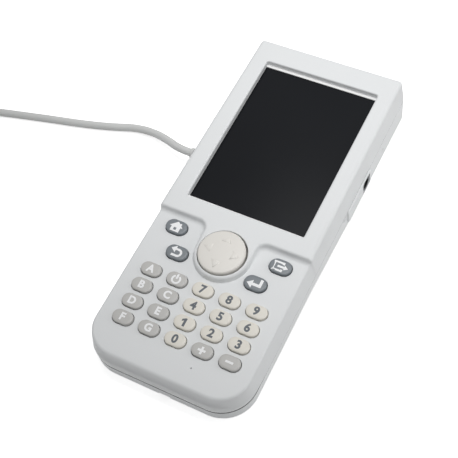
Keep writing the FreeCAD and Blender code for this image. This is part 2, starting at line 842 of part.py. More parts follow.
tray = plate(
    "display_tray", -display_width / 2, display_width / 2, -display_height / 2, display_height / 2,
    tray_top, S.tray_thickness,
)
ear_underside = S.tray_ear_depth + S.tray_ear_thickness
sketch = new_sketch(tray, "tray_ears", -ear_underside)
ear_half = S.tray_ear_width / 2
for x in (-S.tray_ear_spread / 2, S.tray_ear_spread / 2):
    for root, tip in (
        (S.window_height / 2, display_height / 2 + S.tray_ear_length),
        (-display_height / 2 - S.tray_ear_length, -S.window_height / 2),
    ):
        first = sketch.GeometryCount
        corners = [(x - ear_half, root), (x + ear_half, root), (x + ear_half, tip), (x - ear_half, tip)]
        polygon(sketch, corners, start=first)
pad(tray, sketch, S.tray_ear_thickness)
bore(
    tray, "ear_holes", display_ears, S.board_screw_diameter + 2 * S.screw_clearance,
    ear_underside, S.tray_ear_thickness,
)
studs(
    tray, "tray_standoffs", standoffs, S.standoff_diameter,
    tray_underside, S.standoff_height, along=False,
)
bore(
    tray, "standoff_pilots", standoffs, S.board_screw_diameter + 2 * S.screw_clearance,
    main_board_top, S.board_screw_grip,
)


# Boards: the main board hangs under the display tray, the keypad board under the bosses of the deck
main_board_low = middle_screw_y + rear_boss_diameter / 2 + S.board_clearance
main_board_high = top_end - S.top_screw_inset - rear_boss_diameter / 2 - S.board_clearance
main_board_half = head_width / 2 - S.wall - S.board_clearance
main_board = plate(
    "main_board", -main_board_half, main_board_half, main_board_low, main_board_high,
    main_board_top, S.board_thickness,
)
bore(
    main_board, "main_board_holes", standoffs, S.board_screw_diameter + 2 * S.screw_clearance,
    main_board_top, S.board_thickness, along=False,
)
keypad_board_half = keypad_screw_x - S.screw_boss_diameter / 2 - S.board_clearance
keypad_board_low = -lower_boss_row - S.keypad_board_margin
keypad_board_high = -upper_boss_row + S.keypad_board_margin
keypad_board = plate(
    "keypad_board", -keypad_board_half, keypad_board_half, keypad_board_low, keypad_board_high,
    keypad_board_top, S.board_thickness,
)
bore(
    keypad_board, "keypad_board_holes", board_bosses, S.board_screw_diameter + 2 * S.screw_clearance,
    keypad_board_top, S.board_thickness, along=False,
)


# Keypad mat: a silicone sheet on the keypad board, with a dome under each key and round the pad
mat = plate(
    "keypad_mat", -keypad_board_half, keypad_board_half, keypad_board_low, keypad_board_high,
    mat_top, S.mat_thickness,
)
dome = studs(mat, "key_dome", [(key_columns[0], key_rows[0])], S.dome_diameter, mat_top, S.dome_height)
key_grid(mat, "key_domes", dome)
studs(mat, "menu_domes", menu_keys.values(), S.dome_diameter, mat_top, S.dome_height)
pad_domes = mirrored(S.pad_dome_radius, -pad_row)
pad_domes += [(0, -pad_row + S.pad_dome_radius), (0, -pad_row - S.pad_dome_radius)]
studs(mat, "pad_domes", pad_domes, S.dome_diameter, mat_top, S.dome_height)
bore(
    mat, "mat_boss_holes", board_bosses, S.board_boss_diameter + 2 * S.mat_hole_gap,
    mat_top, S.mat_thickness, along=False,
)
bore(
    mat, "mat_post_hole", [(0, -pad_row)], S.post_diameter + 2 * S.mat_hole_gap,
    mat_top, S.mat_thickness, along=False,
)


# Keys: hard caps that slide in their apertures, held from below by a flange under the deck
def make_key(label, x, y, width, height, proud):
    body = new_body(label, x, y)
    top = S.step_depth - proud
    sketch = new_sketch(body, f"{label}_cap", -deck_underside)
    slot(sketch, 0, 0, width, height)
    pad(body, sketch, deck_underside - top)
    ease("Fillet", body, f"{label}_edge", lambda edge: at_level(edge, top), S.key_edge_round)
    lip = 2 * (S.key_clearance + S.flange_lip)
    sketch = new_sketch(body, f"{label}_flange", -deck_underside)
    slot(sketch, 0, 0, width + lip, height + lip)
    pad(body, sketch, S.flange_thickness, along=False)
    flange_underside = deck_underside + S.flange_thickness
    studs(body, f"{label}_stem", [(0, 0)], S.stem_diameter, flange_underside, S.stem_length, along=False)


for labels, y in zip(KEY_NAMES, key_rows):
    for label, x in zip(labels, key_columns):
        make_key(label, x, y, S.key_width, S.key_height, S.key_proud)
for label, (x, y) in menu_keys.items():
    make_key(label, x, y, S.menu_width, S.menu_height, S.menu_proud)


# Four-way pad: a crowned cap that tips on a rocker, which tips on a post standing on the keypad board
cap = new_body("pad_cap", 0, -pad_row)
cap_radius = S.pad_diameter / 2
rocker_top = S.pivot_depth - S.rocker_thickness / 2
rocker_foot = S.pivot_depth + S.rocker_thickness / 2
recess_radius = S.rocker_diameter / 2 + S.rocker_room
recess_roof = rocker_top - S.rocker_gap
flange_radius = pad_hole_radius + S.pad_flange_lip
flange_top = deck_underside + S.pad_flange_drop
flange_foot = flange_top + S.pad_flange_thickness
sketch = new_sketch(cap, "cap_profile", size(0), "XZ_Plane")
polygon(
    sketch,
    [
        (0, -recess_roof),
        (recess_radius, -recess_roof),
        (recess_radius, -flange_foot),
        (flange_radius, -flange_foot),
        (flange_radius, -flange_top),
        (cap_radius, -flange_top),
        (cap_radius, S.pad_proud - S.pad_crown),
        (0, S.pad_proud),
    ],
    rounds={6: S.pad_edge_round},
)
revolve(cap, sketch, "V_Axis")

rocker = new_body("pad_rocker", 0, -pad_row)
studs(rocker, "rocker_disc", [(0, 0)], S.rocker_diameter, rocker_foot, S.rocker_thickness)
post = new_body("pad_post", 0, -pad_row)
post_top = rocker_foot + S.rocker_gap
studs(post, "post_pillar", [(0, 0)], S.post_diameter, keypad_board_top, keypad_board_top - post_top)


# Ribbon from the keypad board to the main board, and the buzzer under the main board
ribbon = new_body("ribbon_cable")
sketch = new_sketch(ribbon, "ribbon_profile", size(0), "YZ_Plane")
ribbon_line = [
    (keypad_board_high - S.ribbon_lap, -keypad_board_underside),
    (keypad_board_high, -keypad_board_underside),
    (main_board_low, -main_board_underside),
    (main_board_low + S.ribbon_lap, -main_board_underside),
]
polygon(sketch, ribbon_line + [(y, z - S.ribbon_thickness) for y, z in reversed(ribbon_line)])
strip = pad(ribbon, sketch, S.ribbon_width)
strip.SideType = "Symmetric"
doc.recompute()

buzzer = new_body("buzzer")
buzzer_y = main_board_low + S.buzzer_above_edge
studs(
    buzzer, "buzzer_can", [(S.buzzer_x, buzzer_y)], S.buzzer_diameter,
    main_board_underside, S.buzzer_height, along=False,
)


# Socket in the right wall: a block under the main board with a round barrel through the wall
socket = new_body("side_socket")
block_face = pad_root - S.socket_clearance
block_foot = socket_depth + S.socket_barrel / 2 + S.socket_clearance
sketch = new_sketch(socket, "socket_block", block_face, "YZ_Plane")
rectangle(
    sketch, S.socket_y - S.socket_width / 2, S.socket_y + S.socket_width / 2,
    -block_foot, -main_board_underside,
)
pad(socket, sketch, S.socket_length, along=False)
barrel_face = pad_face - S.raised_pad_proud - S.socket_set_back
sketch = new_sketch(socket, "socket_barrel_ring", block_face, "YZ_Plane")
circles(sketch, [(S.socket_y, -socket_depth)], S.socket_barrel)
pad(socket, sketch, barrel_face - block_face)
sketch = new_sketch(socket, "socket_bore_circle", barrel_face, "YZ_Plane")
circles(sketch, [(S.socket_y, -socket_depth)], S.socket_bore)
pocket(socket, sketch, S.socket_bore_length, along=False)


# Screws: heads below, shanks up into their pilots
def screw_group(label, places, seat, shank, diameter, head, head_height):
    body = new_body(label, several=True)
    studs(body, f"{label}_heads", places, head, seat, head_height, along=False)
    studs(body, f"{label}_shanks", places, diameter, seat, shank)


screw_group(
    "case_screws", case_screws, screw_seat, S.case_screw_seat + S.case_screw_grip - S.screw_end_gap,
    S.case_screw_diameter, S.case_screw_head, S.case_screw_head_height,
)
for label, places, seat, held in (
    ("display_screws", display_ears, ear_underside, S.tray_ear_thickness),
    ("main_board_screws", standoffs, main_board_underside, S.board_thickness),
    ("keypad_board_screws", board_bosses, keypad_board_underside, S.board_thickness),
):
    screw_group(
        label, places, seat, held + S.board_screw_grip - S.screw_end_gap,
        S.board_screw_diameter, S.board_screw_head, S.board_screw_head_height,
    )


# Gland: a rubber sleeve clipped into the left wall, where the lead leaves the case. Ring grooves round it
# let it bend with the lead
gland = new_body("cable_gland", -pad_face, S.gland_y, -gland_depth)
gland_wall = pad_face - pad_root
sketch = new_sketch(gland, "gland_profile", size(0))
polygon(
    sketch,
    [
        (-S.gland_length, 0),
        (gland_wall + S.gland_collar_length, 0),
        (gland_wall + S.gland_collar_length, S.gland_collar / 2),
        (gland_wall, S.gland_collar / 2),
        (gland_wall, S.gland_neck / 2),
        (0, S.gland_neck / 2),
        (0, S.gland_root / 2),
        (-S.gland_length, S.gland_tip / 2),
    ],
)
revolve(gland, sketch, "H_Axis")
sketch = new_sketch(gland, "gland_ring", size(0))
near = -S.gland_groove_start
rectangle(sketch, near - S.gland_groove, near, S.gland_core / 2, S.gland_root)
ring_grooves(gland, sketch, "H_Axis", "X_Axis", GLAND_GROOVES, S.gland_groove_pitch)


# Lead: it leaves the gland level, comes down to the table and runs to a tied coil with a round plug
cord_rest = S.cord_diameter / 2 + S.cord_floor_gap
coil_base = S.tie_thickness + S.tie_clearance + S.cord_floor_gap
coil_layer = coil_base + S.cord_diameter / 2
gland_tip_y = S.gland_y * cosine(S.tilt) + gland_depth * sine(S.tilt) + centre_shift
gland_tip_z = S.gland_y * sine(S.tilt) - gland_depth * cosine(S.tilt) + face_height
CORD_ROUTE = [
    Vector(-pad_face.value - S.gland_length.value, gland_tip_y.value, gland_tip_z.value),
    Vector(-57.5, gland_tip_y.value, gland_tip_z.value),
    Vector(-69.5, 29.9, 4.6),
    Vector(-82.0, 32.2, cord_rest.value),
    Vector(-95.0, 27.6, cord_rest.value),
    Vector(-110.5, 23.0, cord_rest.value),
    Vector(-128.0, 19.2, cord_rest.value),
    Vector(-146.0, 14.6, cord_rest.value),
    Vector(-163.0, 10.2, cord_rest.value),
    Vector(-178.0, 8.6, coil_layer.value),
]
BEND_SHARE = 0.45


def rounded_path(points):
    """Straight runs joined by tangent arcs, each as large as its two runs allow."""
    edges = []
    start = points[0]
    for before, corner, after in zip(points, points[1:], points[2:]):
        back = (before - corner).normalize()
        ahead = (after - corner).normalize()
        reach = BEND_SHARE * min((before - corner).Length, (after - corner).Length)
        half_turn = (math.pi - back.getAngle(ahead)) / 2
        radius = reach / math.tan(half_turn)
        print(f"lead bend radius {radius:.1f}")
        first = corner + back * reach
        last = corner + ahead * reach
        middle_way = (back + ahead).normalize()
        middle = corner + middle_way * (radius / math.cos(half_turn) - radius)
        edges.append(Part.LineSegment(start, first).toShape())
        edges.append(Part.Arc(first, middle, last).toShape())
        start = last
    edges.append(Part.LineSegment(start, points[-1]).toShape())
    return Part.Wire(edges)


path = rounded_path(CORD_ROUTE)
ring = Part.Circle(CORD_ROUTE[0], CORD_ROUTE[1] - CORD_ROUTE[0], S.cord_diameter.value / 2)
cord = doc.addObject("Part::Feature", "cord")
cord.Label = "cord"
cord.Shape = path.makePipeShell([Part.Wire(ring.toShape())], True, False)
section = math.pi * S.cord_diameter.value ** 2 / 4
print(f"lead tube length {path.Length:.1f}, volume over section {cord.Shape.Volume / section:.1f}")
subparts.append(cord)


def stand(body, x, y, z):
    """Place a piece on the table instead of on the panel."""
    body.Placement = FreeCAD.Placement()
    for axis in ("Rotation.Angle", "Base.x", "Base.y", "Base.z"):
        body.setExpression(f"Placement.{axis}", None)
    for axis, amount in (("x", x), ("y", y), ("z", z)):
        bind(body, f"Placement.Base.{axis}", amount)


coil_radius = S.coil_diameter / 2
coil_inner = coil_radius - S.coil_band / 2
coil_outer = coil_radius + S.coil_band / 2
coil = new_body("cord_coil")
stand(coil, S.coil_x, S.coil_y, coil_base)
sketch = new_sketch(coil, "coil_section", size(0), "XZ_Plane")
rectangle(sketch, coil_inner, coil_outer, size(0), S.coil_band, S.cord_diameter / 2)
revolve(coil, sketch, "V_Axis")

tie = new_body("cord_tie")
stand(tie, S.coil_x, S.coil_y, coil_base)
sketch = new_sketch(tie, "tie_loop", size(0), "XZ_Plane")
for start, gap in ((0, S.tie_clearance), (4, S.tie_clearance + S.tie_thickness)):
    near, far = -coil_inner + gap, -coil_outer - gap
    polygon(
        sketch, [(far, -gap), (near, -gap), (near, S.coil_band + gap), (far, S.coil_band + gap)],
        start=start,
    )
band = pad(tie, sketch, S.tie_width)
band.SideType = "Symmetric"
doc.recompute()

plug_x = S.coil_x - coil_outer + S.cord_diameter / 2
plug_y = S.coil_y - S.plug_offset
plug_height = S.plug_grip_diameter / 2 + S.cord_floor_gap
grip_radius = S.plug_grip_diameter / 2
grip_start = -S.plug_neck_length
grip_end = grip_start - S.plug_grip_length
plug = new_body("plug_grip")
stand(plug, plug_x, plug_y, plug_height)
sketch = new_sketch(plug, "plug_profile", size(0))
polygon(
    sketch,
    [
        (0, 0),
        (0, grip_end),
        (grip_radius, grip_end),
        (grip_radius, grip_start),
        (S.cord_diameter / 2 + S.plug_neck_step, grip_start),
        (S.cord_diameter / 2 + S.plug_neck_step / 2, 0),
    ],
    rounds={2: S.plug_edge_round, 3: S.plug_edge_round},
)
revolve(plug, sketch, "V_Axis")
sketch = new_sketch(plug, "plug_ring", size(0))
near = grip_start - S.plug_groove_start
rectangle(
    sketch, grip_radius - S.plug_groove_sink, S.plug_grip_diameter, near - S.plug_groove, near,
)
ring_grooves(plug, sketch, "V_Axis", "Y_Axis", PLUG_GROOVES, S.plug_groove_pitch)

shell = new_body("plug_shell")
stand(shell, plug_x, plug_y + grip_end, plug_height)
sketch = new_sketch(shell, "shell_ring", size(0), "XZ_Plane")
circles(sketch, [(0, 0)], S.plug_shell_diameter)
circles(sketch, [(0, 0)], S.plug_shell_diameter - 2 * S.plug_shell_wall)
pad(shell, sketch, S.plug_shell_length)

insert = new_body("plug_insert")
stand(insert, plug_x, plug_y + grip_end, plug_height)
sketch = new_sketch(insert, "insert_disc", size(0), "XZ_Plane")
circles(sketch, [(0, 0)], S.plug_shell_diameter - 2 * S.plug_shell_wall)
pad(insert, sketch, S.plug_insert_length)
sketch = new_sketch(insert, "insert_pin", S.plug_insert_length, "XZ_Plane")
circles(sketch, [(S.plug_pin_circle / 2, 0)], S.plug_pin_diameter)
pin = pad(insert, sketch, S.plug_pin_length)
pins = insert.newObject("PartDesign::PolarPattern", "insert_pins")
pins.Originals = [pin]
pins.Axis = (origin_feature(insert, "Y_Axis"), [""])
pins.Occurrences = PLUG_PINS
insert.Tip = pins
doc.recompute()


for thing in doc.Objects:
    if "Invalid" in thing.State or "Error" in thing.State:
        raise RuntimeError(f"{thing.Name} failed: {thing.State}")
for piece in subparts:
    if piece.Shape.isNull() or not piece.Shape.isValid():
        raise RuntimeError(f"{piece.Label} has no valid shape")

os.makedirs("parts", exist_ok=True)
for piece in subparts:
    piece.Shape.exportStep(f"parts/{piece.Label}.step")
print(f"{len(subparts)} sub-parts written")
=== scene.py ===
import json
import math
import bmesh
import bpy
from mathutils import Matrix, Quaternion, Vector
from mathutils.geometry import delaunay_2d_cdt


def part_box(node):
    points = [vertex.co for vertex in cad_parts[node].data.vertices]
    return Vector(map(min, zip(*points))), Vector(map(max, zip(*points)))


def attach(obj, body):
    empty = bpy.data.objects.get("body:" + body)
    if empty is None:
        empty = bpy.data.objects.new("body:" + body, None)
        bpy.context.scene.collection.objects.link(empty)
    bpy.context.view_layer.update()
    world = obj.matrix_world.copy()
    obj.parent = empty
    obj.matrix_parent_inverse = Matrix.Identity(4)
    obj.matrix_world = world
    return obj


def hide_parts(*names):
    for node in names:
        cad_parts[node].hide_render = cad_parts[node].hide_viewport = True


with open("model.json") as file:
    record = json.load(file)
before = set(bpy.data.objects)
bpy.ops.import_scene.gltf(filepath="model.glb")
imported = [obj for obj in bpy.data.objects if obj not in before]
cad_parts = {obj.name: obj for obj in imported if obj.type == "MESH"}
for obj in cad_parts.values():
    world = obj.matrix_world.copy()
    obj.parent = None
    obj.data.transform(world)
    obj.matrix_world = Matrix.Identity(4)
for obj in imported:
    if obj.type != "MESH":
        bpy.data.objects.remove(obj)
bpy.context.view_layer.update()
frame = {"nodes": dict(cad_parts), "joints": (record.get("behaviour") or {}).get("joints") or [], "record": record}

# View: the panel lies on a table and is seen from above its keypad end, a little from the right,
# by a hand-held camera that is rolled slightly to the left.
MM = 0.001
EYE = Vector((132.35, -208.69, 376.79)) * MM
LOOK_AT = Vector((-4.07, -14.95, 20.0)) * MM
ROLL = math.radians(-9.69)
LENS_MM = 74.9
SENSOR_MM = 36.0

camera_data = bpy.data.cameras.new("camera")
camera_data.lens = LENS_MM
camera_data.sensor_width = SENSOR_MM
camera_data.sensor_height = SENSOR_MM
camera_data.clip_start = 0.01
camera = bpy.data.objects.new("camera", camera_data)
aim = (LOOK_AT - EYE).to_track_quat("-Z", "Y") @ Quaternion((0, 0, 1), ROLL)
camera.matrix_world = Matrix.Translation(EYE) @ aim.to_matrix().to_4x4()
bpy.context.scene.collection.objects.link(camera)
bpy.context.scene.camera = camera


# Lead: a round sheathed cable, pale grey soft vinyl over its wires, extruded in one length.
# It leaves the gland, drops to the table and runs off to the left. A tied coil and a round
# connector end it.
class Wire:
    """An output of a shader node. Sums on it add Math nodes, and node() adds any other."""

    def __init__(self, socket):
        self.socket = socket

    def node(self, kind, settings, sockets, output=0):
        made = self.socket.id_data.nodes.new("ShaderNode" + kind)
        for name, value in settings.items():
            setattr(made, name, value)
        for name, value in sockets.items():
            if isinstance(value, Wire):
                made.id_data.links.new(value.socket, made.inputs[name])
            else:
                made.inputs[name].default_value = value
        return Wire(made.outputs[output])

    def math(self, operation, first, second):
        return self.node("Math", {"operation": operation}, {0: first, 1: second})

    def mix(self, low, high):
        """The colour low where this is 0 and high where it is 1."""
        return self.node("Mix", {"data_type": "RGBA"}, {0: self, 6: low, 7: high}, 2)

    def into(self, shader, name):
        self.socket.id_data.links.new(self.socket, shader.inputs[name])

    def __add__(self, other):
        return self.math("ADD", self, other)

    def __sub__(self, other):
        return self.math("SUBTRACT", self, other)

    def __mul__(self, other):
        return self.math("MULTIPLY", self, other)

    __radd__ = __add__


def colour(red, green, blue):
    """A colour read off as 0 to 255, in Blender's linear values."""
    channels = [part / 255 for part in (red, green, blue)]
    return [((part + 0.055) / 1.055) ** 2.4 for part in channels] + [1.0]


def shaded(tint, share):
    return [part * share for part in tint[:3]] + [1.0]


def surface(name):
    """A new material, its shader, and the place on the piece in metres."""
    material = bpy.data.materials.new(name)
    material.use_nodes = True
    tree = material.node_tree
    place = Wire(tree.nodes.new("ShaderNodeTexCoord").outputs["Object"])
    return material, tree.nodes["Principled BSDF"], place


CLOUDS_PER_M = 55.0
CLOUD_SHARE = 0.8
GLOSS_SPREAD = 0.12
# how dark a colour is made where shade is painted in, as a share of its tint
PAINTED_SHADE_SHARE = 0.06
VINYL = {"grain_mm": 0.4, "relief_mm": 0.01}
SATIN = {"grain_mm": 0.22, "relief_mm": 0.008, "cloudiness": 0.02}
KEY_CAP = {"grain_mm": 0.2, "relief_mm": 0.005}
INK = {"grain_mm": 0.15, "relief_mm": 0.002}


def moulded(name, tint, roughness, grain_mm=0.25, relief_mm=0.006, cloudiness=0.03, painted_shade=None):
    """Moulded plastic or rubber: fine mould grain, faint cloudiness and an uneven gloss. Where
    the mask for painted shade gives 1 for a place, the colour is painted dark as shade."""
    material, shader, place = surface(name)
    cloud = place.node("TexNoise", {}, {"Vector": place, "Scale": CLOUDS_PER_M, "Detail": 4.0})
    grain_scale = 1 / (grain_mm * MM)
    grain = place.node("TexNoise", {}, {"Vector": place, "Scale": grain_scale, "Detail": 2.0})
    tone = cloud * CLOUD_SHARE + grain * (1 - CLOUD_SHARE)
    tone = tone.mix(shaded(tint, 1 - cloudiness), shaded(tint, 1 + cloudiness))
    # painted shade: where the mask gives 1, the colour is painted nearly black
    if painted_shade:
        tone = painted_shade(place).mix(tone, shaded(tint, PAINTED_SHADE_SHARE))
    tone.into(shader, "Base Color")
    (roughness - GLOSS_SPREAD / 2 + cloud * GLOSS_SPREAD).into(shader, "Roughness")
    bump = {"Strength": 0.5, "Distance": relief_mm * MM, "Height": grain}
    place.node("Bump", {}, bump).into(shader, "Normal")
    return material


def wear(node, material):
    """Give a CAD node its finish."""
    slots = frame["nodes"][node].data.materials
    slots.clear()
    slots.append(material)


def nurbs(name, points, radius):
    """A round line through the bends of a list of control points."""
    data = bpy.data.curves.new(name, "CURVE")
    data.dimensions = "3D"
    data.bevel_depth = radius
    data.bevel_resolution = 6
    data.resolution_u = 8
    data.use_fill_caps = True
    line = data.splines.new("NURBS")
    line.points.add(len(points) - 1)
    for knot, point in zip(line.points, points):
        knot.co = (*point, 1.0)
    line.order_u = 3
    line.use_endpoint_u = True
    return data


def add(name, data, body, material, place=Matrix()):
    """Put a new piece into the scene: it rides on a body and takes its finish from a slot."""
    piece = bpy.data.objects.new(name, data)
    bpy.context.scene.collection.objects.link(piece)
    data.materials.clear()
    data.materials.append(material)
    piece.matrix_world = place
    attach(piece, body)
    return piece


gland_low, gland_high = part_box("cable_gland")
gland_axis = (gland_low + gland_high) / 2
EXIT = gland_axis / MM
LEAD_MM = 4.0
LEAD_LIE = 2.02
COIL_BASE = 3.27
LEAD_ROUTE = [
    (-46.65, EXIT.y, EXIT.z),
    (-53.5, EXIT.y, EXIT.z),
    (-61.5, 27.6, 6.1),
    (-71.5, 30.8, 3.6),
    (-83.0, 31.0, LEAD_LIE),
    (-95.0, 26.5, LEAD_LIE),
    (-110.5, 22.2, LEAD_LIE),
    (-128.0, 18.4, LEAD_LIE),
    (-146.0, 14.2, LEAD_LIE),
    (-163.0, 10.0, LEAD_LIE),
    (-178.0, 8.6, COIL_BASE),
]
COIL_CENTRE = Vector((-184.0, -18.0))
COIL_RADIUS = 17.7
COIL_PITCH = 4.3
TURN_POINTS = 24
# column and layer of each turn, counted from the inner bottom one, and where the last one leaves
COIL_PLACES = [(2, 0), (1, 0), (0, 0), (0, 1), (1, 1), (0, 2), (1, 2), (2, 2), (2, 1), (2, 0.75)]
COIL_TURNS = 8.25
COIL_JOINED_AT = 2
PLUG_NECK = (-210.3, -29.0, 5.52)

route = [Vector(point) for point in LEAD_ROUTE]
for step in range(COIL_JOINED_AT, round(COIL_TURNS * TURN_POINTS)):
    turn, share = divmod(step / TURN_POINTS, 1)
    (column, layer), (next_column, next_layer) = COIL_PLACES[int(turn):int(turn) + 2]
    column += (next_column - column) * share
    layer += (next_layer - layer) * share
    angle = math.pi / 2 + step * 2 * math.pi / TURN_POINTS
    reach = COIL_RADIUS + column * COIL_PITCH
    height = COIL_BASE + layer * COIL_PITCH
    flat = COIL_CENTRE + reach * Vector((math.cos(angle), math.sin(angle)))
    route.append(Vector((flat.x, flat.y, height)))
route.append(Vector(PLUG_NECK))
lead_finish = moulded("lead_vinyl", colour(213, 214, 213), 0.5, **VINYL, cloudiness=0.04)
lead_line = nurbs("lead", [point * MM for point in route], LEAD_MM / 2 * MM)
lead = add("lead", lead_line, "housing", lead_finish)
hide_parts("cord", "cord_coil")


# Gland: the moulded strain relief that carries the lead out of the left wall. It is soft vinyl,
# shot round the sheath in one piece, with a collar inside the wall, a root flange and ring grooves.
RING = 48
WELD = 1e-4
SLIVER = 1e-5


def loft(mesh, loops, close_start=True, close_end=True):
    """Quads between neighbouring closed loops of equal count, with flat caps on the two ends."""
    rows = [[mesh.verts.new(point) for point in loop] for loop in loops]
    count = len(rows[0])
    for row, following in zip(rows, rows[1:]):
        for i in range(count):
            j = (i + 1) % count
            mesh.faces.new((row[i], row[j], following[j], following[i]))
    if close_start:
        mesh.faces.new(reversed(rows[0]))
    if close_end:
        mesh.faces.new(rows[-1])


def smooth_mesh(name, mesh, sharp=40):
    """Weld a built mesh, scale it from millimetres, and keep edges sharper than an angle."""
    bmesh.ops.remove_doubles(mesh, verts=mesh.verts, dist=WELD)
    bmesh.ops.dissolve_degenerate(mesh, edges=mesh.edges, dist=SLIVER)
    bmesh.ops.recalc_face_normals(mesh, faces=mesh.faces)
    mesh.transform(Matrix.Scale(MM, 4))
    data = bpy.data.meshes.new(name)
    mesh.to_mesh(data)
    mesh.free()
    data.shade_smooth()
    data.set_sharp_from_angle(angle=math.radians(sharp))
    return data


def turned(name, profile, sharp=40, capped=True):
    """A turned piece about its own Z axis, from a profile of radius and height in millimetres."""
    mesh = bmesh.new()
    turns = [2 * math.pi * i / RING for i in range(RING)]
    loops = [[(r * math.cos(a), r * math.sin(a), z) for a in turns] for r, z in profile]
    loft(mesh, loops, capped, capped)
    return smooth_mesh(name, mesh, sharp)


def along(start, direction):
    """The place of a turned piece whose Z axis points in a direction, from a start in metres."""
    turn = Vector(direction).to_track_quat("Z", "Y")
    return Matrix.Translation(start) @ turn.to_matrix().to_4x4()


GLAND_INSIDE = 34.75
GLAND_WALL = 36.25
GLAND_ROOT = 39.65
GLAND_TIP = 46.65
GLAND_COLLAR = 4.0
GLAND_NECK = 3.3
# radius and place of the root flange's edge and of the rounded tip, and of a groove, from its rib
ROOT_FLANGE = [(3.6, 0), (3.8, 0.2), (3.8, 0.8), (3.6, 1.0)]
GLAND_GROOVE = [(-0.4, 0.1), (-0.4, 0.6), (0, 0.7)]
GLAND_NOSE = [(2.6, -0.4), (2.4, 0)]
GLAND_GROOVES = 3
GROOVED_LENGTH = 5.4
FIRST_RIB = 3.05
RIB_TAPER = 0.16
RIB_SLOPE = 0.1
profile = [(GLAND_COLLAR, GLAND_INSIDE), (GLAND_COLLAR, GLAND_WALL)]
profile += [(GLAND_NECK, GLAND_WALL), (GLAND_NECK, GLAND_ROOT)]
profile += [(radius, GLAND_ROOT + z) for radius, z in ROOT_FLANGE]
groove_pitch = GROOVED_LENGTH / GLAND_GROOVES
for groove in range(GLAND_GROOVES):
    near = GLAND_ROOT + ROOT_FLANGE[-1][1] + groove * groove_pitch
    rib = FIRST_RIB - RIB_TAPER * groove
    profile += [(rib + rise, near + z) for rise, z in GLAND_GROOVE]
    profile.append((rib - RIB_SLOPE, near + groove_pitch))
profile += [(radius, GLAND_TIP + z) for radius, z in GLAND_NOSE]
gland_finish = moulded("gland_vinyl", colour(210, 211, 210), 0.55, **VINYL)
gland_place = along(Vector((0, gland_axis.y, gland_axis.z)), (-1, 0, 0))
gland_mesh = turned("gland", profile, 50)
gland = add("gland", gland_mesh, "housing", gland_finish, gland_place)
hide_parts("cable_gland")


# Connector: a round plug on the far end of the lead, moulded vinyl over a plated steel shell
# that holds a nylon insert with eight pins. The grip has finger rings and a tapered neck.
PLUG_AXIS = Vector((PLUG_NECK[0], 0, PLUG_NECK[2])) * MM
NECK_START = -PLUG_NECK[1]
GRIP_START = 41.0
GRIP_END = 61.0
# radius and place along the axis, from the start of the neck and from both ends of the grip
NECK_PROFILE = [(2.2, 0), (2.6, 0), (2.9, 4)]
GRIP_SHOULDER = [(3.2, -1.2), (4.3, 0), (5.2, 0.5), (5.5, 1.4)]
GRIP_NOSE = [(5.5, -1.2), (5.2, -0.3), (4.7, 0)]
FINGER_GROOVE = [(5.5, 0), (5.0, 0.25), (5.0, 0.85), (5.5, 1.1)]
FINGER_GROOVES = 5
FIRST_GROOVE = 3.5
GROOVE_PITCH = 2.2
profile = [(radius, NECK_START + z) for radius, z in NECK_PROFILE]
profile += [(radius, GRIP_START + z) for radius, z in GRIP_SHOULDER]
for groove in range(FINGER_GROOVES):
    near = GRIP_START + FIRST_GROOVE + groove * GROOVE_PITCH
    profile += [(radius, near + z) for radius, z in FINGER_GROOVE]
profile += [(radius, GRIP_END + z) for radius, z in GRIP_NOSE]
grip_finish = moulded("plug_vinyl", colour(150, 152, 153), 0.5, grain_mm=0.4, relief_mm=0.012)
grip_mesh = turned("plug_body", profile, 50)
plug_place = along(PLUG_AXIS, (0, -1, 0))
grip = add("plug_body", grip_mesh, "housing", grip_finish, plug_place)
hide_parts("plug_grip")

plating, shader, place = surface("plug_plating")
streak = place.node("TexNoise", {}, {"Vector": place, "Scale": 900.0, "Detail": 2.0})
streak.mix(colour(188, 189, 191), colour(214, 215, 217)).into(shader, "Base Color")
(0.22 + streak * 0.15).into(shader, "Roughness")
shader.inputs["Metallic"].default_value = 1.0
wear("plug_shell", plating)
wear("plug_insert", moulded("plug_nylon", colour(44, 45, 47), 0.45))


# Tie: a strap of black woven hook tape. It is drawn flat round the bundle of turns, pressed onto
# itself and holds by its own hooks.
TIE_WIDTH = 6.0
TIE_THICKNESS = 0.8
TIE_GAP = 0.4
TIE_CORNER = 2.4
TIE_SPACING = 2.0
FUZZ_SHARE = 0.5
BUNDLE_WIDTH = 12.6
NO_LENGTH = 1e-6


def rounded_loop(corners, arc_steps=8):
    """Points and inward directions along a closed outline, drawn anticlockwise. Each corner is
    x, y, its radius and the spacing of points along the straight run after it."""
    loop = []
    count = len(corners)
    ends = []
    for i, (x, y, radius, spacing) in enumerate(corners):
        corner = Vector((x, y))
        before = (Vector(corners[i - 1][:2]) - corner).normalized()
        after = (Vector(corners[(i + 1) % count][:2]) - corner).normalized()
        turn = math.pi - before.angle(after)
        reach = radius * math.tan(turn / 2)
        ends.append((corner, before, after, turn, reach, radius, spacing))
    for i, (corner, before, after, turn, reach, radius, spacing) in enumerate(ends):
        inward = Vector((-after.y, after.x))
        start = corner + after * reach
        if radius:
            centre = start + inward * radius
            first = Vector((before.y, -before.x))
            for k in range(arc_steps):
                aim = Matrix.Rotation(turn * k / arc_steps, 2) @ first
                loop.append((centre - aim * radius, aim))
        following = ends[(i + 1) % count]
        finish = following[0] + following[1] * following[4]
        runs = max(1, round((finish - start).length / spacing))
        if (finish - start).length < NO_LENGTH:
            continue
        for k in range(runs):
            loop.append((start.lerp(finish, k / runs), inward))
    return loop


def rectangle_corners(width, height, radius, spacing):
    x, y = width / 2, height / 2
    return [(*corner, radius, spacing) for corner in ((-x, -y), (x, -y), (x, y), (-x, y))]


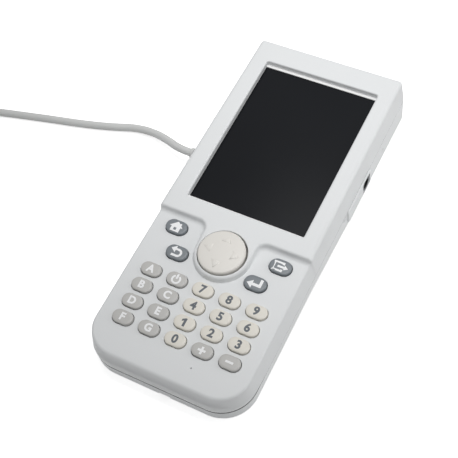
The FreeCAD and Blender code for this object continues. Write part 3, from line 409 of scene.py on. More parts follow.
tie_low, tie_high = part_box("cord_tie")
tie_middle = (tie_low + tie_high) / 2
bundle = BUNDLE_WIDTH + 2 * TIE_GAP
mesh = bmesh.new()
inner = rounded_loop(rectangle_corners(bundle, bundle, TIE_CORNER, TIE_SPACING))
sides = []
for out, across in ((0, -1), (TIE_THICKNESS, -1), (TIE_THICKNESS, 1), (0, 1), (0, -1)):
    sides.append([(*(point - aim * out), across * TIE_WIDTH / 2) for point, aim in inner])
loft(mesh, sides, False, False)
tape, shader, place = surface("tie_tape")
threads = {"Vector": place, "Scale": 900.0, "Distortion": 1.5}
weave = place.node("TexWave", {"bands_direction": "Y"}, threads)
fuzz = place.node("TexNoise", {}, {"Vector": place, "Scale": 2500.0, "Detail": 2.0})
cloth = weave * (1 - FUZZ_SHARE) + fuzz * FUZZ_SHARE
cloth.mix(colour(34, 35, 37), colour(66, 67, 70)).into(shader, "Base Color")
bump = {"Strength": 0.6, "Distance": 0.08 * MM, "Height": weave + fuzz}
place.node("Bump", {}, bump).into(shader, "Normal")
shader.inputs["Roughness"].default_value = 0.85
tie_place = along(tie_middle, (0, 1, 0))
tie = add("coil_tie", smooth_mesh("coil_tie", mesh), "housing", tape, tie_place)
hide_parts("cord_tie")


# Rear cover: a moulded tray of off-white plastic that the panel lies on, with a raised pad round
# the socket and the gland. Six screws in deep wells draw it against the front cover.
tilt = math.asin(frame["joints"][0]["axis"][1])
pad_joint = next(joint for joint in frame["joints"] if joint["name"] == "pad_tip_up_down")
PAD_ROW = -64.1
PAD_PIVOT = -2.6
lying = Matrix.Rotation(tilt, 4, "X")
face_origin = Vector(pad_joint["pos_m"]) - lying @ (Vector((0, PAD_ROW, PAD_PIVOT)) * MM)
face = Matrix.Translation(face_origin) @ lying
SHELL = colour(232, 234, 235)
SHELL_ROUGHNESS = 0.48
REAR_SHADE = 0.97
SEAM_FOOT = -12.52


def seam_shade_mask(place):
    """1 for what lies above the foot of the gap along the seam, where shade is painted in, and 0 below it."""
    along_y, along_z = (place.node("SeparateXYZ", {}, {"Vector": place}, axis) for axis in "YZ")
    height = (along_z - face_origin.z) * math.cos(tilt) - (along_y - face_origin.y) * math.sin(tilt)
    return height.math("GREATER_THAN", height, SEAM_FOOT * MM)


rear_tint = shaded(SHELL, REAR_SHADE)
# inside the gap along the seam, the rear cover's colour is painted dark as shade
wear("rear_cover", moulded("rear_shell", rear_tint, SHELL_ROUGHNESS, **SATIN, painted_shade=seam_shade_mask))


# Case screws: six pan-head screws of zinc-plated steel with a cross recess. They are driven from
# below, through the wells of the rear cover, into bosses of the front cover.
SCREW_PAIRS = [(31.55, -117.5), (34.05, -53.2), (34.05, 50.8)]
SCREW_PLACES = [(side * x, y) for x, y in SCREW_PAIRS for side in (1, -1)]
SCREW_SHANK = [(0.9, -6.5), (1.4, -7.2), (1.4, -14.4)]
SCREW_HEAD = [(2.5, -14.4), (2.5, -15.4), (2.4, -15.9), (2.1, -16.25), (1.7, -16.4)]
RECESS_ARM = 1.35
RECESS_TURN = math.radians(15)
RECESS_HALF = RECESS_ARM * math.tan(RECESS_TURN)
RECESS_DEPTH = 1.1
RECESS_TAPER = 0.7


def cross_recess(share):
    """A cross of as many points as a turned ring, drawn in by a share of its size."""
    loop = []
    for i in range(RING):
        turn = 2 * math.pi * i / RING
        along_x = max(abs(math.cos(turn)), NO_LENGTH)
        along_y = max(abs(math.sin(turn)), NO_LENGTH)
        flat_arm = min(RECESS_ARM / along_x, RECESS_HALF / along_y)
        tall_arm = min(RECESS_HALF / along_x, RECESS_ARM / along_y)
        reach = share * max(flat_arm, tall_arm)
        loop.append((reach * math.cos(turn), reach * math.sin(turn)))
    return loop


mesh = bmesh.new()
circle = [(math.cos(2 * math.pi * i / RING), math.sin(2 * math.pi * i / RING)) for i in range(RING)]
for x, y in SCREW_PLACES:
    loops = [[(x + r * u, y + r * v, z) for u, v in circle] for r, z in SCREW_SHANK + SCREW_HEAD]
    for share, sink in ((1, 0), (RECESS_TAPER, RECESS_DEPTH)):
        loops.append([(x + u, y + v, SCREW_HEAD[-1][1] + sink) for u, v in cross_recess(share)])
    loft(mesh, loops)
zinc, shader, place = surface("zinc_plating")
patch = place.node("TexNoise", {}, {"Vector": place, "Scale": 700.0, "Detail": 3.0})
patch.mix(colour(168, 170, 172), colour(205, 206, 208)).into(shader, "Base Color")
(0.25 + patch * 0.2).into(shader, "Roughness")
shader.inputs["Metallic"].default_value = 1.0
screw_mesh = smooth_mesh("case_screw_set", mesh, 35)
screws = add("case_screw_set", screw_mesh, "housing", zinc, face)
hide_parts("case_screws")
for node in ("display_screws", "main_board_screws", "keypad_board_screws"):
    wear(node, zinc)


# Insides: glass-fibre boards under green solder mask, a pressed steel tray behind the display, a
# silicone keypad mat, a flat ribbon between the boards and a buzzer. The covers close them all in.
FIBRE_SHARE = 0.3
mask, shader, place = surface("solder_mask")
tracks = place.node("TexWave", {"bands_direction": "DIAGONAL"}, {"Vector": place, "Scale": 260.0})
fibre = place.node("TexNoise", {}, {"Vector": place, "Scale": 3000.0})
board = tracks * (1 - FIBRE_SHARE) + fibre * FIBRE_SHARE
board.mix(colour(18, 84, 48), colour(36, 118, 70)).into(shader, "Base Color")
bump = {"Strength": 0.3, "Distance": 0.03 * MM, "Height": tracks}
place.node("Bump", {}, bump).into(shader, "Normal")
shader.inputs["Roughness"].default_value = 0.3
for node in ("main_board", "keypad_board"):
    wear(node, mask)
sheet_steel, shader, place = surface("sheet_steel")
brushed = place.node("Mapping", {}, {"Vector": place, "Scale": (4000.0, 90.0, 90.0)})
lines = place.node("TexNoise", {}, {"Vector": brushed, "Scale": 1.0, "Detail": 2.0})
lines.mix(colour(188, 189, 191), colour(212, 213, 215)).into(shader, "Base Color")
(0.3 + lines * 0.15).into(shader, "Roughness")
shader.inputs["Metallic"].default_value = 1.0
wear("display_tray", sheet_steel)
silicone = moulded("silicone_mat", colour(176, 177, 178), 0.6, grain_mm=0.5, relief_mm=0.01)
wear("keypad_mat", silicone)
film = moulded("ribbon_film", colour(206, 206, 208), 0.4, grain_mm=0.6, relief_mm=0.004)
wear("ribbon_cable", film)
wear("buzzer", moulded("black_moulding", colour(46, 47, 50), 0.45, grain_mm=0.2))
inner_finish = moulded("inner_moulding", colour(205, 205, 204), 0.45)
for node in ("pad_post", "pad_rocker"):
    wear(node, inner_finish)


# Socket: a jack for a lead, in the right wall. A black moulded block is soldered to the main
# board, and a dark plated ring screwed onto its barrel fills the mouth, just below the raised
# pad of the rear cover. The bore of the ring is painted black as shade in the hole.
JACK_BORE = 2.5
JACK_RING = 3.7
JACK_CHAMFER = 0.25
JACK_SET_BACK = 0.3
PAINTED_BORE_MARGIN = 0.1
socket_finish, shader, place = surface("jack_block")
grain = place.node("TexNoise", {}, {"Vector": place, "Scale": 1800.0, "Detail": 2.0})
grain.mix(colour(4, 4, 5), colour(9, 9, 10)).into(shader, "Base Color")
(0.75 + grain * 0.1).into(shader, "Roughness")
shader.inputs["Specular IOR Level"].default_value = 0.1
wear("side_socket", socket_finish)

jack = next(mount for mount in frame["record"]["mounts"] if mount["name"] == "jack_socket")
barrel_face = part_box("side_socket")[1].x
jack_length = (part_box("rear_cover")[1].x - barrel_face) / MM - JACK_SET_BACK
chamfer_foot = jack_length - JACK_CHAMFER
profile = [(JACK_BORE, 0), (JACK_BORE, chamfer_foot), (JACK_BORE + JACK_CHAMFER, jack_length)]
profile += [(JACK_RING - JACK_CHAMFER, jack_length), (JACK_RING, chamfer_foot), (JACK_RING, 0)]
profile.append(profile[0])
ring_finish, shader, place = surface("jack_ring")
# painted shade: the ring's bore is painted near-black as the hole's shade, and the rest is plated
across, aside = (place.node("SeparateXYZ", {}, {"Vector": place}, axis) for axis in "XY")
from_axis = across * across + aside * aside
beyond_painted_bore = from_axis.math("GREATER_THAN", from_axis, ((JACK_BORE + PAINTED_BORE_MARGIN) * MM) ** 2)
grain = place.node("TexNoise", {}, {"Vector": place, "Scale": 1800.0, "Detail": 2.0})
plated = grain.mix(colour(74, 76, 79), colour(94, 96, 99))
beyond_painted_bore.mix(colour(5, 5, 6), plated).into(shader, "Base Color")
(0.55 + grain * 0.1).into(shader, "Roughness")
shader.inputs["Specular IOR Level"].default_value = 0.15
ring_place = along(Vector((barrel_face, jack["pos_m"][1], jack["pos_m"][2])), (1, 0, 0))
ring_mesh = turned("jack_ring", profile, 30, False)
add("jack_ring", ring_mesh, "housing", ring_finish, ring_place)


# Display: a liquid crystal panel, switched off and nearly black under its clear hard sheet, with a
# pale foam gasket round it that shows as a ledge inside the window.
screen, shader, place = surface("screen_off")
smear = place.node("TexNoise", {}, {"Vector": place, "Scale": 14.0, "Detail": 2.0})
smear.mix(colour(14, 16, 20), colour(22, 24, 28)).into(shader, "Base Color")
(0.16 + smear * 0.08).into(shader, "Roughness")
shader.inputs["IOR"].default_value = 1.2
wear("display_panel", screen)
foam = moulded("foam_gasket", colour(250, 250, 250), 0.8, grain_mm=0.3, relief_mm=0.02)
wear("display_gasket", foam)


# Front cover: the moulded upper shell of off-white satin plastic. A soft step parts the screen
# deck from the lower keypad deck, and the screen deck runs on as a tongue and a collar round
# the four-way pad.
HALF_GRIP = 38.95
HALF_HEAD = 38.45
TOP_END = 56.0
KEYPAD_END = -127.7
STEP_LINE = -52.0
STEP_DEPTH = 2.8
CORNER_KEYPAD = 16.0
CORNER_TOP = 2.8
# the upper edge at the head and at the grip: how far in the deck ends, and its round
SIDE_INSET = (2.6, 2.3)
EDGE_ROUND = (1.8, 1.1)
END_INSET = 3.6
END_ROUND = 2.0
WALL_LEAN = (11, 42)
END_SHOULDER = -6.2
STEP_ROUND = (1.2, 2.2)
COLLAR_ROUND = (1.5, 0.4)
STEP_SLOPE = math.radians(78)
TONGUE_ROUND = 4.5
COLLAR_RADIUS = 13.1
BEZEL = 2.6
DECK = 2.0
PARTING = -12.0
# the seam at the keypad end and along the sides: its bevel, how far the edge reaches into it, and
# over what length of the sides the one passes into the other
SEAM_BEVEL = (0.35, 0.12)
SEAM_LIP = (0.0, 0.5)
SEAM_LIP_IN = 0.75
SEAM_LIP_DRAFT = 0.05
SEAM_CHANGE = 8.0
SHOULDER_LIFT = 0.4
# the decks lie slightly to the left of the case, and their keys and pad towards the screen
DECK_SHIFT = Vector((-0.3, 0.45))
COLLAR_MIDDLE = Vector((0, PAD_ROW)) + DECK_SHIFT
WINDOW = (58.5, 85.3)
WINDOW_MIDDLE = Vector((0, 0.15))
WINDOW_CORNER = 1.0
PAD_HOLE = 11.4
WINDOW_RIM = 0.8
PAD_RIM = 0.35
KEY = (9.8, 6.3)
MENU_KEY = (10.4, 6.9)
KEY_GAP = 0.3
KEY_RIM = 0.1
COLUMNS = [DECK_SHIFT.x + x for x in (-26.1, -13.1, -0.1, 12.9, 25.9)]
ROWS = [DECK_SHIFT.y + y for y in (-83.0, -91.5, -100.0, -108.5)]
MENU_PLACES = {
    "home": DECK_SHIFT + Vector((-26.0, -59.4)),
    "exit": DECK_SHIFT + Vector((26.0, -59.4)),
    "back": DECK_SHIFT + Vector((-19.5, -71.1)),
    "enter": DECK_SHIFT + Vector((19.5, -71.1)),
}
PINHOLE = DECK_SHIFT + Vector((12.0, -117.0))
PINHOLE_RADIUS = 0.35
# spacing of points along the outline: on the head, on the grip and close to the step
HEAD_SPACING = 3.0
GRIP_SPACING = 2.5
STEP_SPACING = 0.3
# spacing of points along the openings, and how many lie on each round of an outline or of an edge
WINDOW_SPACING = 2.5
PILL_SPACING = 1.2
CASE_STEPS = 16
WINDOW_STEPS = 6
PILL_STEPS = 10
EDGE_STEPS = 6
PAD_HOLE_POINTS = 96
PINHOLE_POINTS = 12
STEP_ZONE = 3.0
ZONE_TAPER = 0.014
# spacing of points on the decks, and rows of them along the step, which lie closer together
GRID = 2.2
ROW_COUNT = 15
FIRST_ROW = -1.45
ROW_PITCH = 0.27
ROW_SPACING = 0.8
ROW_MARGIN = 0.6
CORNER_SPOTS = 10
NECK_SPOTS = 8
COLLAR_SPOTS = 30
EDGE_MARGIN = 0.4
# what the triangulation keeps, which is what lies within the outline, and how near points may come
KEEP_INSIDE = 1
SAME_SPOT = 1e-5


def past_step(x, y):
    """Distance from the line of the step, positive on the keypad deck."""
    x -= COLLAR_MIDDLE.x
    if y < COLLAR_MIDDLE.y:
        return math.hypot(x, y - COLLAR_MIDDLE.y) - COLLAR_RADIUS
    across = COLLAR_RADIUS + TONGUE_ROUND - abs(x)
    along = y - STEP_LINE + TONGUE_ROUND
    if across > 0 and along > 0:
        return TONGUE_ROUND - math.hypot(across, along)
    return TONGUE_ROUND - max(across, along)


def step_share(x, y):
    """How far down the step its soft profile is, from 0 to 1: a round, a slope and a hollow."""
    tongue_start = STEP_LINE - TONGUE_ROUND
    on_collar = min(max((tongue_start - y) / (tongue_start - COLLAR_MIDDLE.y), 0), 1)
    top_round, foot_round = Vector(STEP_ROUND).lerp(COLLAR_ROUND, on_collar)
    lean = math.sin(STEP_SLOPE)
    upper = top_round * lean
    lower = foot_round * lean
    fall = (top_round + foot_round) * (1 - math.cos(STEP_SLOPE))
    straight = (STEP_DEPTH - fall) / math.tan(STEP_SLOPE)
    run = past_step(x, y) + top_round
    if run <= 0:
        drop = 0
    elif run < upper:
        drop = top_round - math.sqrt(top_round ** 2 - run ** 2)
    elif run < upper + straight:
        drop = top_round * (1 - math.cos(STEP_SLOPE)) + (run - upper) * math.tan(STEP_SLOPE)
    elif run < upper + straight + lower:
        left = upper + straight + lower - run
        drop = STEP_DEPTH - foot_round + math.sqrt(foot_round ** 2 - left ** 2)
    else:
        drop = STEP_DEPTH
    return drop / STEP_DEPTH


def deck_height(x, y):
    return -STEP_DEPTH * step_share(x, y)


def deck_underside(x, y):
    return -BEZEL - (STEP_DEPTH + DECK - BEZEL) * step_share(x, y)


def inside(point, loop):
    """True where a point lies within a closed loop of points."""
    crossings = False
    for (x0, y0), (x1, y1) in zip(loop, loop[1:] + loop[:1]):
        if (y0 > point[1]) != (y1 > point[1]):
            if point[0] < x0 + (point[1] - y0) * (x1 - x0) / (y1 - y0):
                crossings = not crossings
    return crossings


case_corners = [
    (HALF_GRIP, KEYPAD_END, CORNER_KEYPAD, GRIP_SPACING),
    (HALF_GRIP, STEP_LINE - STEP_ZONE, 0, STEP_SPACING),
    (HALF_GRIP, STEP_LINE, 0, STEP_SPACING),
    (HALF_GRIP - ZONE_TAPER, STEP_LINE + STEP_ZONE, 0, HEAD_SPACING),
    (HALF_HEAD, TOP_END, CORNER_TOP, HEAD_SPACING),
    (-HALF_HEAD, TOP_END, CORNER_TOP, HEAD_SPACING),
    (-HALF_GRIP + ZONE_TAPER, STEP_LINE + STEP_ZONE, 0, STEP_SPACING),
    (-HALF_GRIP, STEP_LINE, 0, STEP_SPACING),
    (-HALF_GRIP, STEP_LINE - STEP_ZONE, 0, GRIP_SPACING),
    (-HALF_GRIP, KEYPAD_END, CORNER_KEYPAD, GRIP_SPACING),
]
outline = rounded_loop(case_corners, CASE_STEPS)
mesh = bmesh.new()
ARC = [math.radians(90 * step / EDGE_STEPS) for step in range(EDGE_STEPS + 1)]


def at_end(aim):
    """1 on the wall at the keypad end, 0 on the side walls, and between them round the corners."""
    return max(aim.y, 0) ** 2


def upper_edge(point, aim, turned_by):
    """A place on the soft upper edge: over a point of the outline, in from it along its aim, a
    share of the way round from the deck to the wall, which leans out from there."""
    share = step_share(*point)
    inset = SIDE_INSET[0] + (SIDE_INSET[1] - SIDE_INSET[0]) * share
    inset += (END_INSET - SIDE_INSET[1]) * at_end(aim)
    radius = EDGE_ROUND[0] + (EDGE_ROUND[1] - EDGE_ROUND[0]) * share
    radius += (END_ROUND - EDGE_ROUND[1]) * at_end(aim)
    lean = WALL_LEAN[0] + (WALL_LEAN[1] - WALL_LEAN[0]) * at_end(aim)
    angle = turned_by * math.radians(90 - lean)
    x, y = point + aim * (inset - radius * math.sin(angle))
    x += DECK_SHIFT.x * (1 + min((TOP_END - y) / (TOP_END - STEP_LINE), 1))
    return x, y, deck_height(x, y) - radius * (1 - math.cos(angle))


def at_seam(values, y):
    """The first of two values along the keypad end, the second along the other walls."""
    share = min(max((y - KEYPAD_END - CORNER_KEYPAD) / SEAM_CHANGE, 0), 1)
    return values[0] + (values[1] - values[0]) * share


turns = [step / EDGE_STEPS for step in range(EDGE_STEPS + 1)]
loops = [[upper_edge(point, aim, turn) for point, aim in outline] for turn in turns]
rim = [(x, y) for x, y, z in loops[0]]
shoulder, wall_foot, bevel_foot, lip_foot = [], [], [], []
for point, aim in outline:
    bevel = at_seam(SEAM_BEVEL, point.y)
    low = PARTING - at_seam(SEAM_LIP, point.y)
    foot = PARTING + bevel
    shoulder.append((*point, foot + SHOULDER_LIFT + (END_SHOULDER - foot) * at_end(aim)))
    wall_foot.append((*point, low + bevel))
    bevel_foot.append((*(point + aim * bevel), low))
    lip_foot.append((*(point + aim * SEAM_LIP_IN), low))
loops += [shoulder, wall_foot, bevel_foot, lip_foot]
lip_in = SEAM_LIP_IN + SEAM_LIP_DRAFT
loops.append([(*(point + aim * lip_in), PARTING) for point, aim in outline])
loops.append([(x, y, PARTING) for x, y in rim])
loops.append([(x, y, deck_underside(x, y)) for x, y in rim])
loft(mesh, loops, False, False)


def pill(size, gap):
    width, height = size[0] + 2 * gap, size[1] + 2 * gap
    corners = rectangle_corners(width, height, height / 2 - NO_LENGTH, PILL_SPACING)
    return rounded_loop(corners, PILL_STEPS)


def ring(radius, count):
    turns = [2 * math.pi * i / count for i in range(count)]
    aims = [Vector((math.cos(turn), math.sin(turn))) for turn in turns]
    return [(aim * radius, -aim) for aim in aims]


window = rounded_loop(rectangle_corners(*WINDOW, WINDOW_CORNER, WINDOW_SPACING), WINDOW_STEPS)
openings = [(WINDOW_MIDDLE, window, WINDOW_RIM)]
openings.append((COLLAR_MIDDLE, ring(PAD_HOLE, PAD_HOLE_POINTS), PAD_RIM))
openings.append((PINHOLE, ring(PINHOLE_RADIUS, PINHOLE_POINTS), KEY_RIM))
openings += [(Vector((x, y)), pill(KEY, KEY_GAP), KEY_RIM) for y in ROWS for x in COLUMNS]
openings += [(place, pill(MENU_KEY, KEY_GAP), KEY_RIM) for place in MENU_PLACES.values()]
holes = []
for middle, loop, round_off in openings:
    loops = []
    for angle in ARC:
        row = []
        for point, aim in loop:
            x, y = middle + point - aim * round_off * (1 - math.sin(angle))
            row.append((x, y, deck_height(x, y) - round_off * (1 - math.cos(angle))))
        loops.append(row)
    holes.append([(x, y) for x, y, z in loops[0]])
    loops.append([(x, y, deck_underside(x, y)) for x, y, z in loops[-1]])
    loops.append([(x, y, deck_underside(x, y)) for x, y in holes[-1]])
    loft(mesh, loops, False, False)

# rows of points along the step, and a grid of them on the flat decks
spots = []
offsets = [FIRST_ROW + ROW_PITCH * step for step in range(ROW_COUNT)]
for offset in offsets:
    row = []
    x = COLLAR_RADIUS + TONGUE_ROUND
    while x < HALF_GRIP:
        row.append((x, STEP_LINE - offset))
        x += ROW_SPACING
    for step in range(CORNER_SPOTS + 1):
        turn = math.radians(90 + 90 * step / CORNER_SPOTS)
        reach = TONGUE_ROUND - offset
        x = COLLAR_RADIUS + TONGUE_ROUND + reach * math.cos(turn)
        row.append((x, STEP_LINE - TONGUE_ROUND + reach * math.sin(turn)))
    for step in range(1, NECK_SPOTS):
        y = STEP_LINE - TONGUE_ROUND
        row.append((COLLAR_RADIUS + offset, y + (COLLAR_MIDDLE.y - y) * step / NECK_SPOTS))
    for step in range(COLLAR_SPOTS + 1):
        turn = math.radians(-90 * step / COLLAR_SPOTS)
        reach = COLLAR_RADIUS + offset
        row.append((reach * math.cos(turn), COLLAR_MIDDLE.y + reach * math.sin(turn)))
    spots += [(COLLAR_MIDDLE.x + side * x, y) for x, y in row for side in (1, -1)]
columns = int(HALF_GRIP / GRID)
for column in range(-columns, columns + 1):
    y = KEYPAD_END
    while y < TOP_END:
        if not offsets[0] - ROW_MARGIN < past_step(column * GRID, y) < offsets[-1] + ROW_MARGIN:
            spots.append((column * GRID, y))
        y += GRID


def clear(spot):
    """True for a spot on the deck that keeps off its edge and its openings."""
    if not inside(spot, rim):
        return False
    if any(inside(spot, loop) for loop in holes):
        return False
    edge = [corner for loop in holes + [rim] for corner in loop]
    return min((spot[0] - x) ** 2 + (spot[1] - y) ** 2 for x, y in edge) > EDGE_MARGIN ** 2


corners = []
edges = []
for loop in [rim] + holes:
    first = len(corners)
    corners += loop
    edges += [(first + i, first + (i + 1) % len(loop)) for i in range(len(loop))]
corners += [spot for spot in spots if clear(spot)]
corners = [Vector(corner) for corner in corners]
flat, _, faces, _, _, _ = delaunay_2d_cdt(corners, edges, [], KEEP_INSIDE, SAME_SPOT)
flat = [(point.x, point.y) for point in flat]
upper = [mesh.verts.new((x, y, deck_height(x, y))) for x, y in flat]
lower = [mesh.verts.new((x, y, deck_underside(x, y))) for x, y in flat]
for triangle in faces:
    middle = [sum(flat[i][axis] for i in triangle) / 3 for axis in (0, 1)]
    if any(inside(middle, loop) for loop in holes):
        continue
    mesh.faces.new([upper[i] for i in triangle])
    mesh.faces.new([lower[i] for i in reversed(triangle)])
front_finish = moulded("front_shell", SHELL, SHELL_ROUGHNESS, **SATIN)
front_mesh = smooth_mesh("front_shell", mesh, 50)
front = add("front_shell", front_mesh, "housing", front_finish, face)
flats = front.modifiers.new("flats", "WEIGHTED_NORMAL")
flats.keep_sharp = True
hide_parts("front_cover")


# Keys: moulded caps with a crowned top, a flange that keeps them under the deck and a stem that
# presses the mat. The digit keys are cream, the others warm grey and the four menu keys dark grey.
CROWN = 0.6
CROWN_POWER = 4.0
CROWN_RINGS = 12
KEY_PROUD = 1.4
FLANGE_LIP = 0.8
FLANGE_TOP = -4.8
FLANGE_FOOT = -5.8
STEM_FOOT = -7.0
STEM_RADIUS = 2.0


def key_top(size, x, y):
    """Height of the crowned top of a key above the middle of the face."""
    half = size[1] / 2
    beyond = max(abs(x) - (size[0] - size[1]) / 2, 0)
    out = min(math.hypot(beyond, y) / half, 1)
    return KEY_PROUD - STEP_DEPTH - CROWN * (1 - (1 - out ** CROWN_POWER) ** (1 / CROWN_POWER))


def key_mesh(name, size):
    edge = pill(size, 0)
    half = size[1] / 2
    loops = []
    for step in range(CROWN_RINGS + 1):
        turn = math.pi / 2 * step / CROWN_RINGS
        out = math.sin(turn) ** (2 / CROWN_POWER)
        loop = [point + aim * half * (1 - out) for point, aim in edge]
        height = KEY_PROUD - STEP_DEPTH - CROWN * (1 - math.cos(turn) ** (2 / CROWN_POWER))
        loops.append([(*point, height) for point in loop])
    for gap, height in ((0, FLANGE_TOP), (FLANGE_LIP, FLANGE_TOP), (FLANGE_LIP, FLANGE_FOOT)):
        loops.append([(*(point - aim * gap), height) for point, aim in edge])
    stem = [point.normalized() * STEM_RADIUS for point, aim in edge]
    loops += [[(*point, height) for point in stem] for height in (FLANGE_FOOT, STEM_FOOT)]
    mesh = bmesh.new()
    loft(mesh, loops, False, True)
    return smooth_mesh(name, mesh, 45)


PRINT_LIFT = 0.06
PRINT_SHIFT = Vector((-0.1, -0.12))
LETTER_HEIGHT = 3.6
DIGIT_HEIGHT = 3.9
LETTER_WEIGHT = 0.2
# height of a capital in a letter of size 1
CAPITAL = 0.73


def laid_on(name, drawing, shift, top):
    """A mesh of a flat drawing, laid on a crowned top whose height is known at each x and y."""
    maker = bpy.data.objects.new(name, drawing)
    bpy.context.scene.collection.objects.link(maker)
    drawn = maker.evaluated_get(bpy.context.evaluated_depsgraph_get())
    mesh = bpy.data.meshes.new_from_object(drawn)
    bpy.data.objects.remove(maker)
    for vertex in mesh.vertices:
        x, y, z = vertex.co + shift.to_3d()
        vertex.co = Vector((x, y, top(x, y) + z)) * MM
    return mesh


def letters(text, height):
    drawing = bpy.data.curves.new(text, "FONT")
    drawing.body = text
    drawing.size = height / CAPITAL
    drawing.align_x = "CENTER"
    drawing.align_y = "CENTER"
    drawing.offset = LETTER_WEIGHT
    drawing.extrude = PRINT_LIFT
    drawing.resolution_u = 4
    return drawing


def sign(name, outlines):
    """A flat drawing of closed outlines, in millimetres."""
    drawing = bpy.data.curves.new(name, "CURVE")
    drawing.dimensions = "2D"
    drawing.fill_mode = "BOTH"
    drawing.extrude = PRINT_LIFT
    for outline in outlines:
        line = drawing.splines.new("POLY")
        line.points.add(len(outline) - 1)
        line.use_cyclic_u = True
        for knot, (x, y) in zip(line.points, outline):
            knot.co = (x, y, 0, 1)
    return drawing


def arc(x, y, radius, start, finish, steps=14):
    turns = [math.radians(start + (finish - start) * step / steps) for step in range(steps + 1)]
    return [(x + radius * math.cos(turn), y + radius * math.sin(turn)) for turn in turns]


SIGNS = {
    "home": [
        [(-2.2, -2.7), (2.2, -2.7), (2.2, -0.3), (3.3, -0.3), (2.1, 0.8), (2.1, 1.9), (1.25, 1.9),
         (1.25, 1.55), (0, 2.6), (-3.3, -0.3), (-2.2, -0.3)],
        [(-0.85, -1.95), (0.45, -1.95), (0.45, -0.65), (-0.85, -0.65)],
    ],
    "back": [
        [(-3.2, 1.25), (-0.9, 3.05), (-0.9, 1.85)] + arc(0.6, -0.25, 2.1, 90, -90) + [(-2.1, -2.35)]
        + [(-2.1, -1.3)] + arc(0.6, -0.25, 1.05, -90, 90) + [(-0.9, 0.8), (-0.9, -0.55)],
    ],
    "exit": [
        [(1.6, 2.2), (-3.5, 2.2), (-3.5, -2.6), (1.6, -2.6), (1.6, -1.4), (0.6, -1.4), (0.6, -1.7),
         (-2.5, -1.7), (-2.5, 1.3), (0.6, 1.3), (0.6, 1.0), (1.6, 1.0)],
        [(-1.3, 0.3), (1.8, 0.3), (1.8, 1.05), (3.7, -0.2), (1.8, -1.45), (1.8, -0.7),
         (-1.3, -0.7)],
    ],
    "enter": [
        [(3.15, 2.4), (1.85, 2.4), (1.85, -0.2), (-1.1, -0.2), (-1.1, 1.05), (-3.7, -0.9),
         (-1.1, -2.8), (-1.1, -1.55), (3.15, -1.55)],
    ],
    "power": [
        arc(0, -0.2, 2.3, 122, 418) + arc(0, -0.2, 1.4, 418, 122),
        [(-0.45, 0.1), (0.45, 0.1), (0.45, 2.5), (-0.45, 2.5)],
    ],
    "plus": [
        [(-1.8, -0.5), (-0.5, -0.5), (-0.5, -1.8), (0.5, -1.8), (0.5, -0.5), (1.8, -0.5),
         (1.8, 0.5), (0.5, 0.5), (0.5, 1.8), (-0.5, 1.8), (-0.5, 0.5), (-1.8, 0.5)],
    ],
    "minus": [[(-1.8, -0.5), (1.8, -0.5), (1.8, 0.5), (-1.8, 0.5)]],
    "digit_1": [
        [(-0.3, -1.95), (0.8, -1.95), (0.8, 1.95), (0.0, 1.95), (-1.3, 1.15), (-1.3, 0.15),
         (-0.3, 0.75)],
    ],
}
KEY_SIGNS = [
    ["letter_a", "power", "digit_7", "digit_8", "digit_9"],
    ["letter_b", "letter_c", "digit_4", "digit_5", "digit_6"],
    ["letter_d", "letter_e", "digit_1", "digit_2", "digit_3"],
    ["letter_f", "letter_g", "digit_0", "plus", "minus"],
]
white_print = moulded("white_print", colour(251, 252, 253), 0.5, **INK, cloudiness=0.01)
grey_print = moulded("grey_print", colour(92, 98, 104), 0.5, **INK, cloudiness=0.02)
cream = moulded("cream_keys", colour(233, 229, 219), 0.42, **KEY_CAP, cloudiness=0.02)
warm_grey = moulded("grey_keys", colour(195, 194, 191), 0.42, **KEY_CAP, cloudiness=0.02)
dark_grey = moulded("menu_keys", colour(120, 126, 131), 0.4, **KEY_CAP, cloudiness=0.03)
places = {name: (x, y) for y, row in zip(ROWS, KEY_SIGNS) for x, name in zip(COLUMNS, row)}
places.update(MENU_PLACES)
for name, place in places.items():
    menu = name in MENU_PLACES
    digit = name.startswith("digit")
    size = MENU_KEY if menu else KEY
    body = name + "_key"
    spot = face @ Matrix.Translation(Vector((*place, 0)) * MM)
    plastic = dark_grey if menu else cream if digit else warm_grey
    cap = add(name + "_cap", key_mesh(name + "_cap", size), body, plastic, spot)
    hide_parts(body)
    if name in SIGNS:
        drawing = sign(name, SIGNS[name])
    else:
        drawing = letters(name[-1].upper(), DIGIT_HEIGHT if digit else LETTER_HEIGHT)
    shift = Vector((0, 0)) if menu else PRINT_SHIFT
    legend = laid_on(name + "_print", drawing, shift, lambda x, y: key_top(size, x, y))
    add(name + "_print", legend, body, grey_print if digit else white_print, spot)


# Four-way pad: a round cap moulded of cream plastic, shallow-crowned, with four small raised
# arrows. It clips over the rocker inside, and its flange runs under the collar so that it can't
# fall out.
PAD_RADIUS = 10.8
PAD_PROUD = 1.6
PAD_CROWN = 0.5
PAD_SHIFT = Vector((-0.2, -0.12))
PAD_EDGE = 0.7
# radius and heights of the flange, and radius and height of the recess that the rocker fills
PAD_FLANGE = (12.6, -5.9, -6.9)
PAD_RECESS = (4.3, -1.65)
ARROW_RADIUS = 6.2
ARROW_LENGTH = 3.8
ARROW_HALF = 2.3
# share of an arrow's size and its height over the pad, from its root to its top
ARROW_PROFILE = [(1, -0.1), (1, 0), (0.8, 0.168), (0.55, 0.28)]
PAD_RINGS = 6


def pad_top(x, y):
    return PAD_PROUD - PAD_CROWN * (math.hypot(x, y) / PAD_RADIUS) ** 2


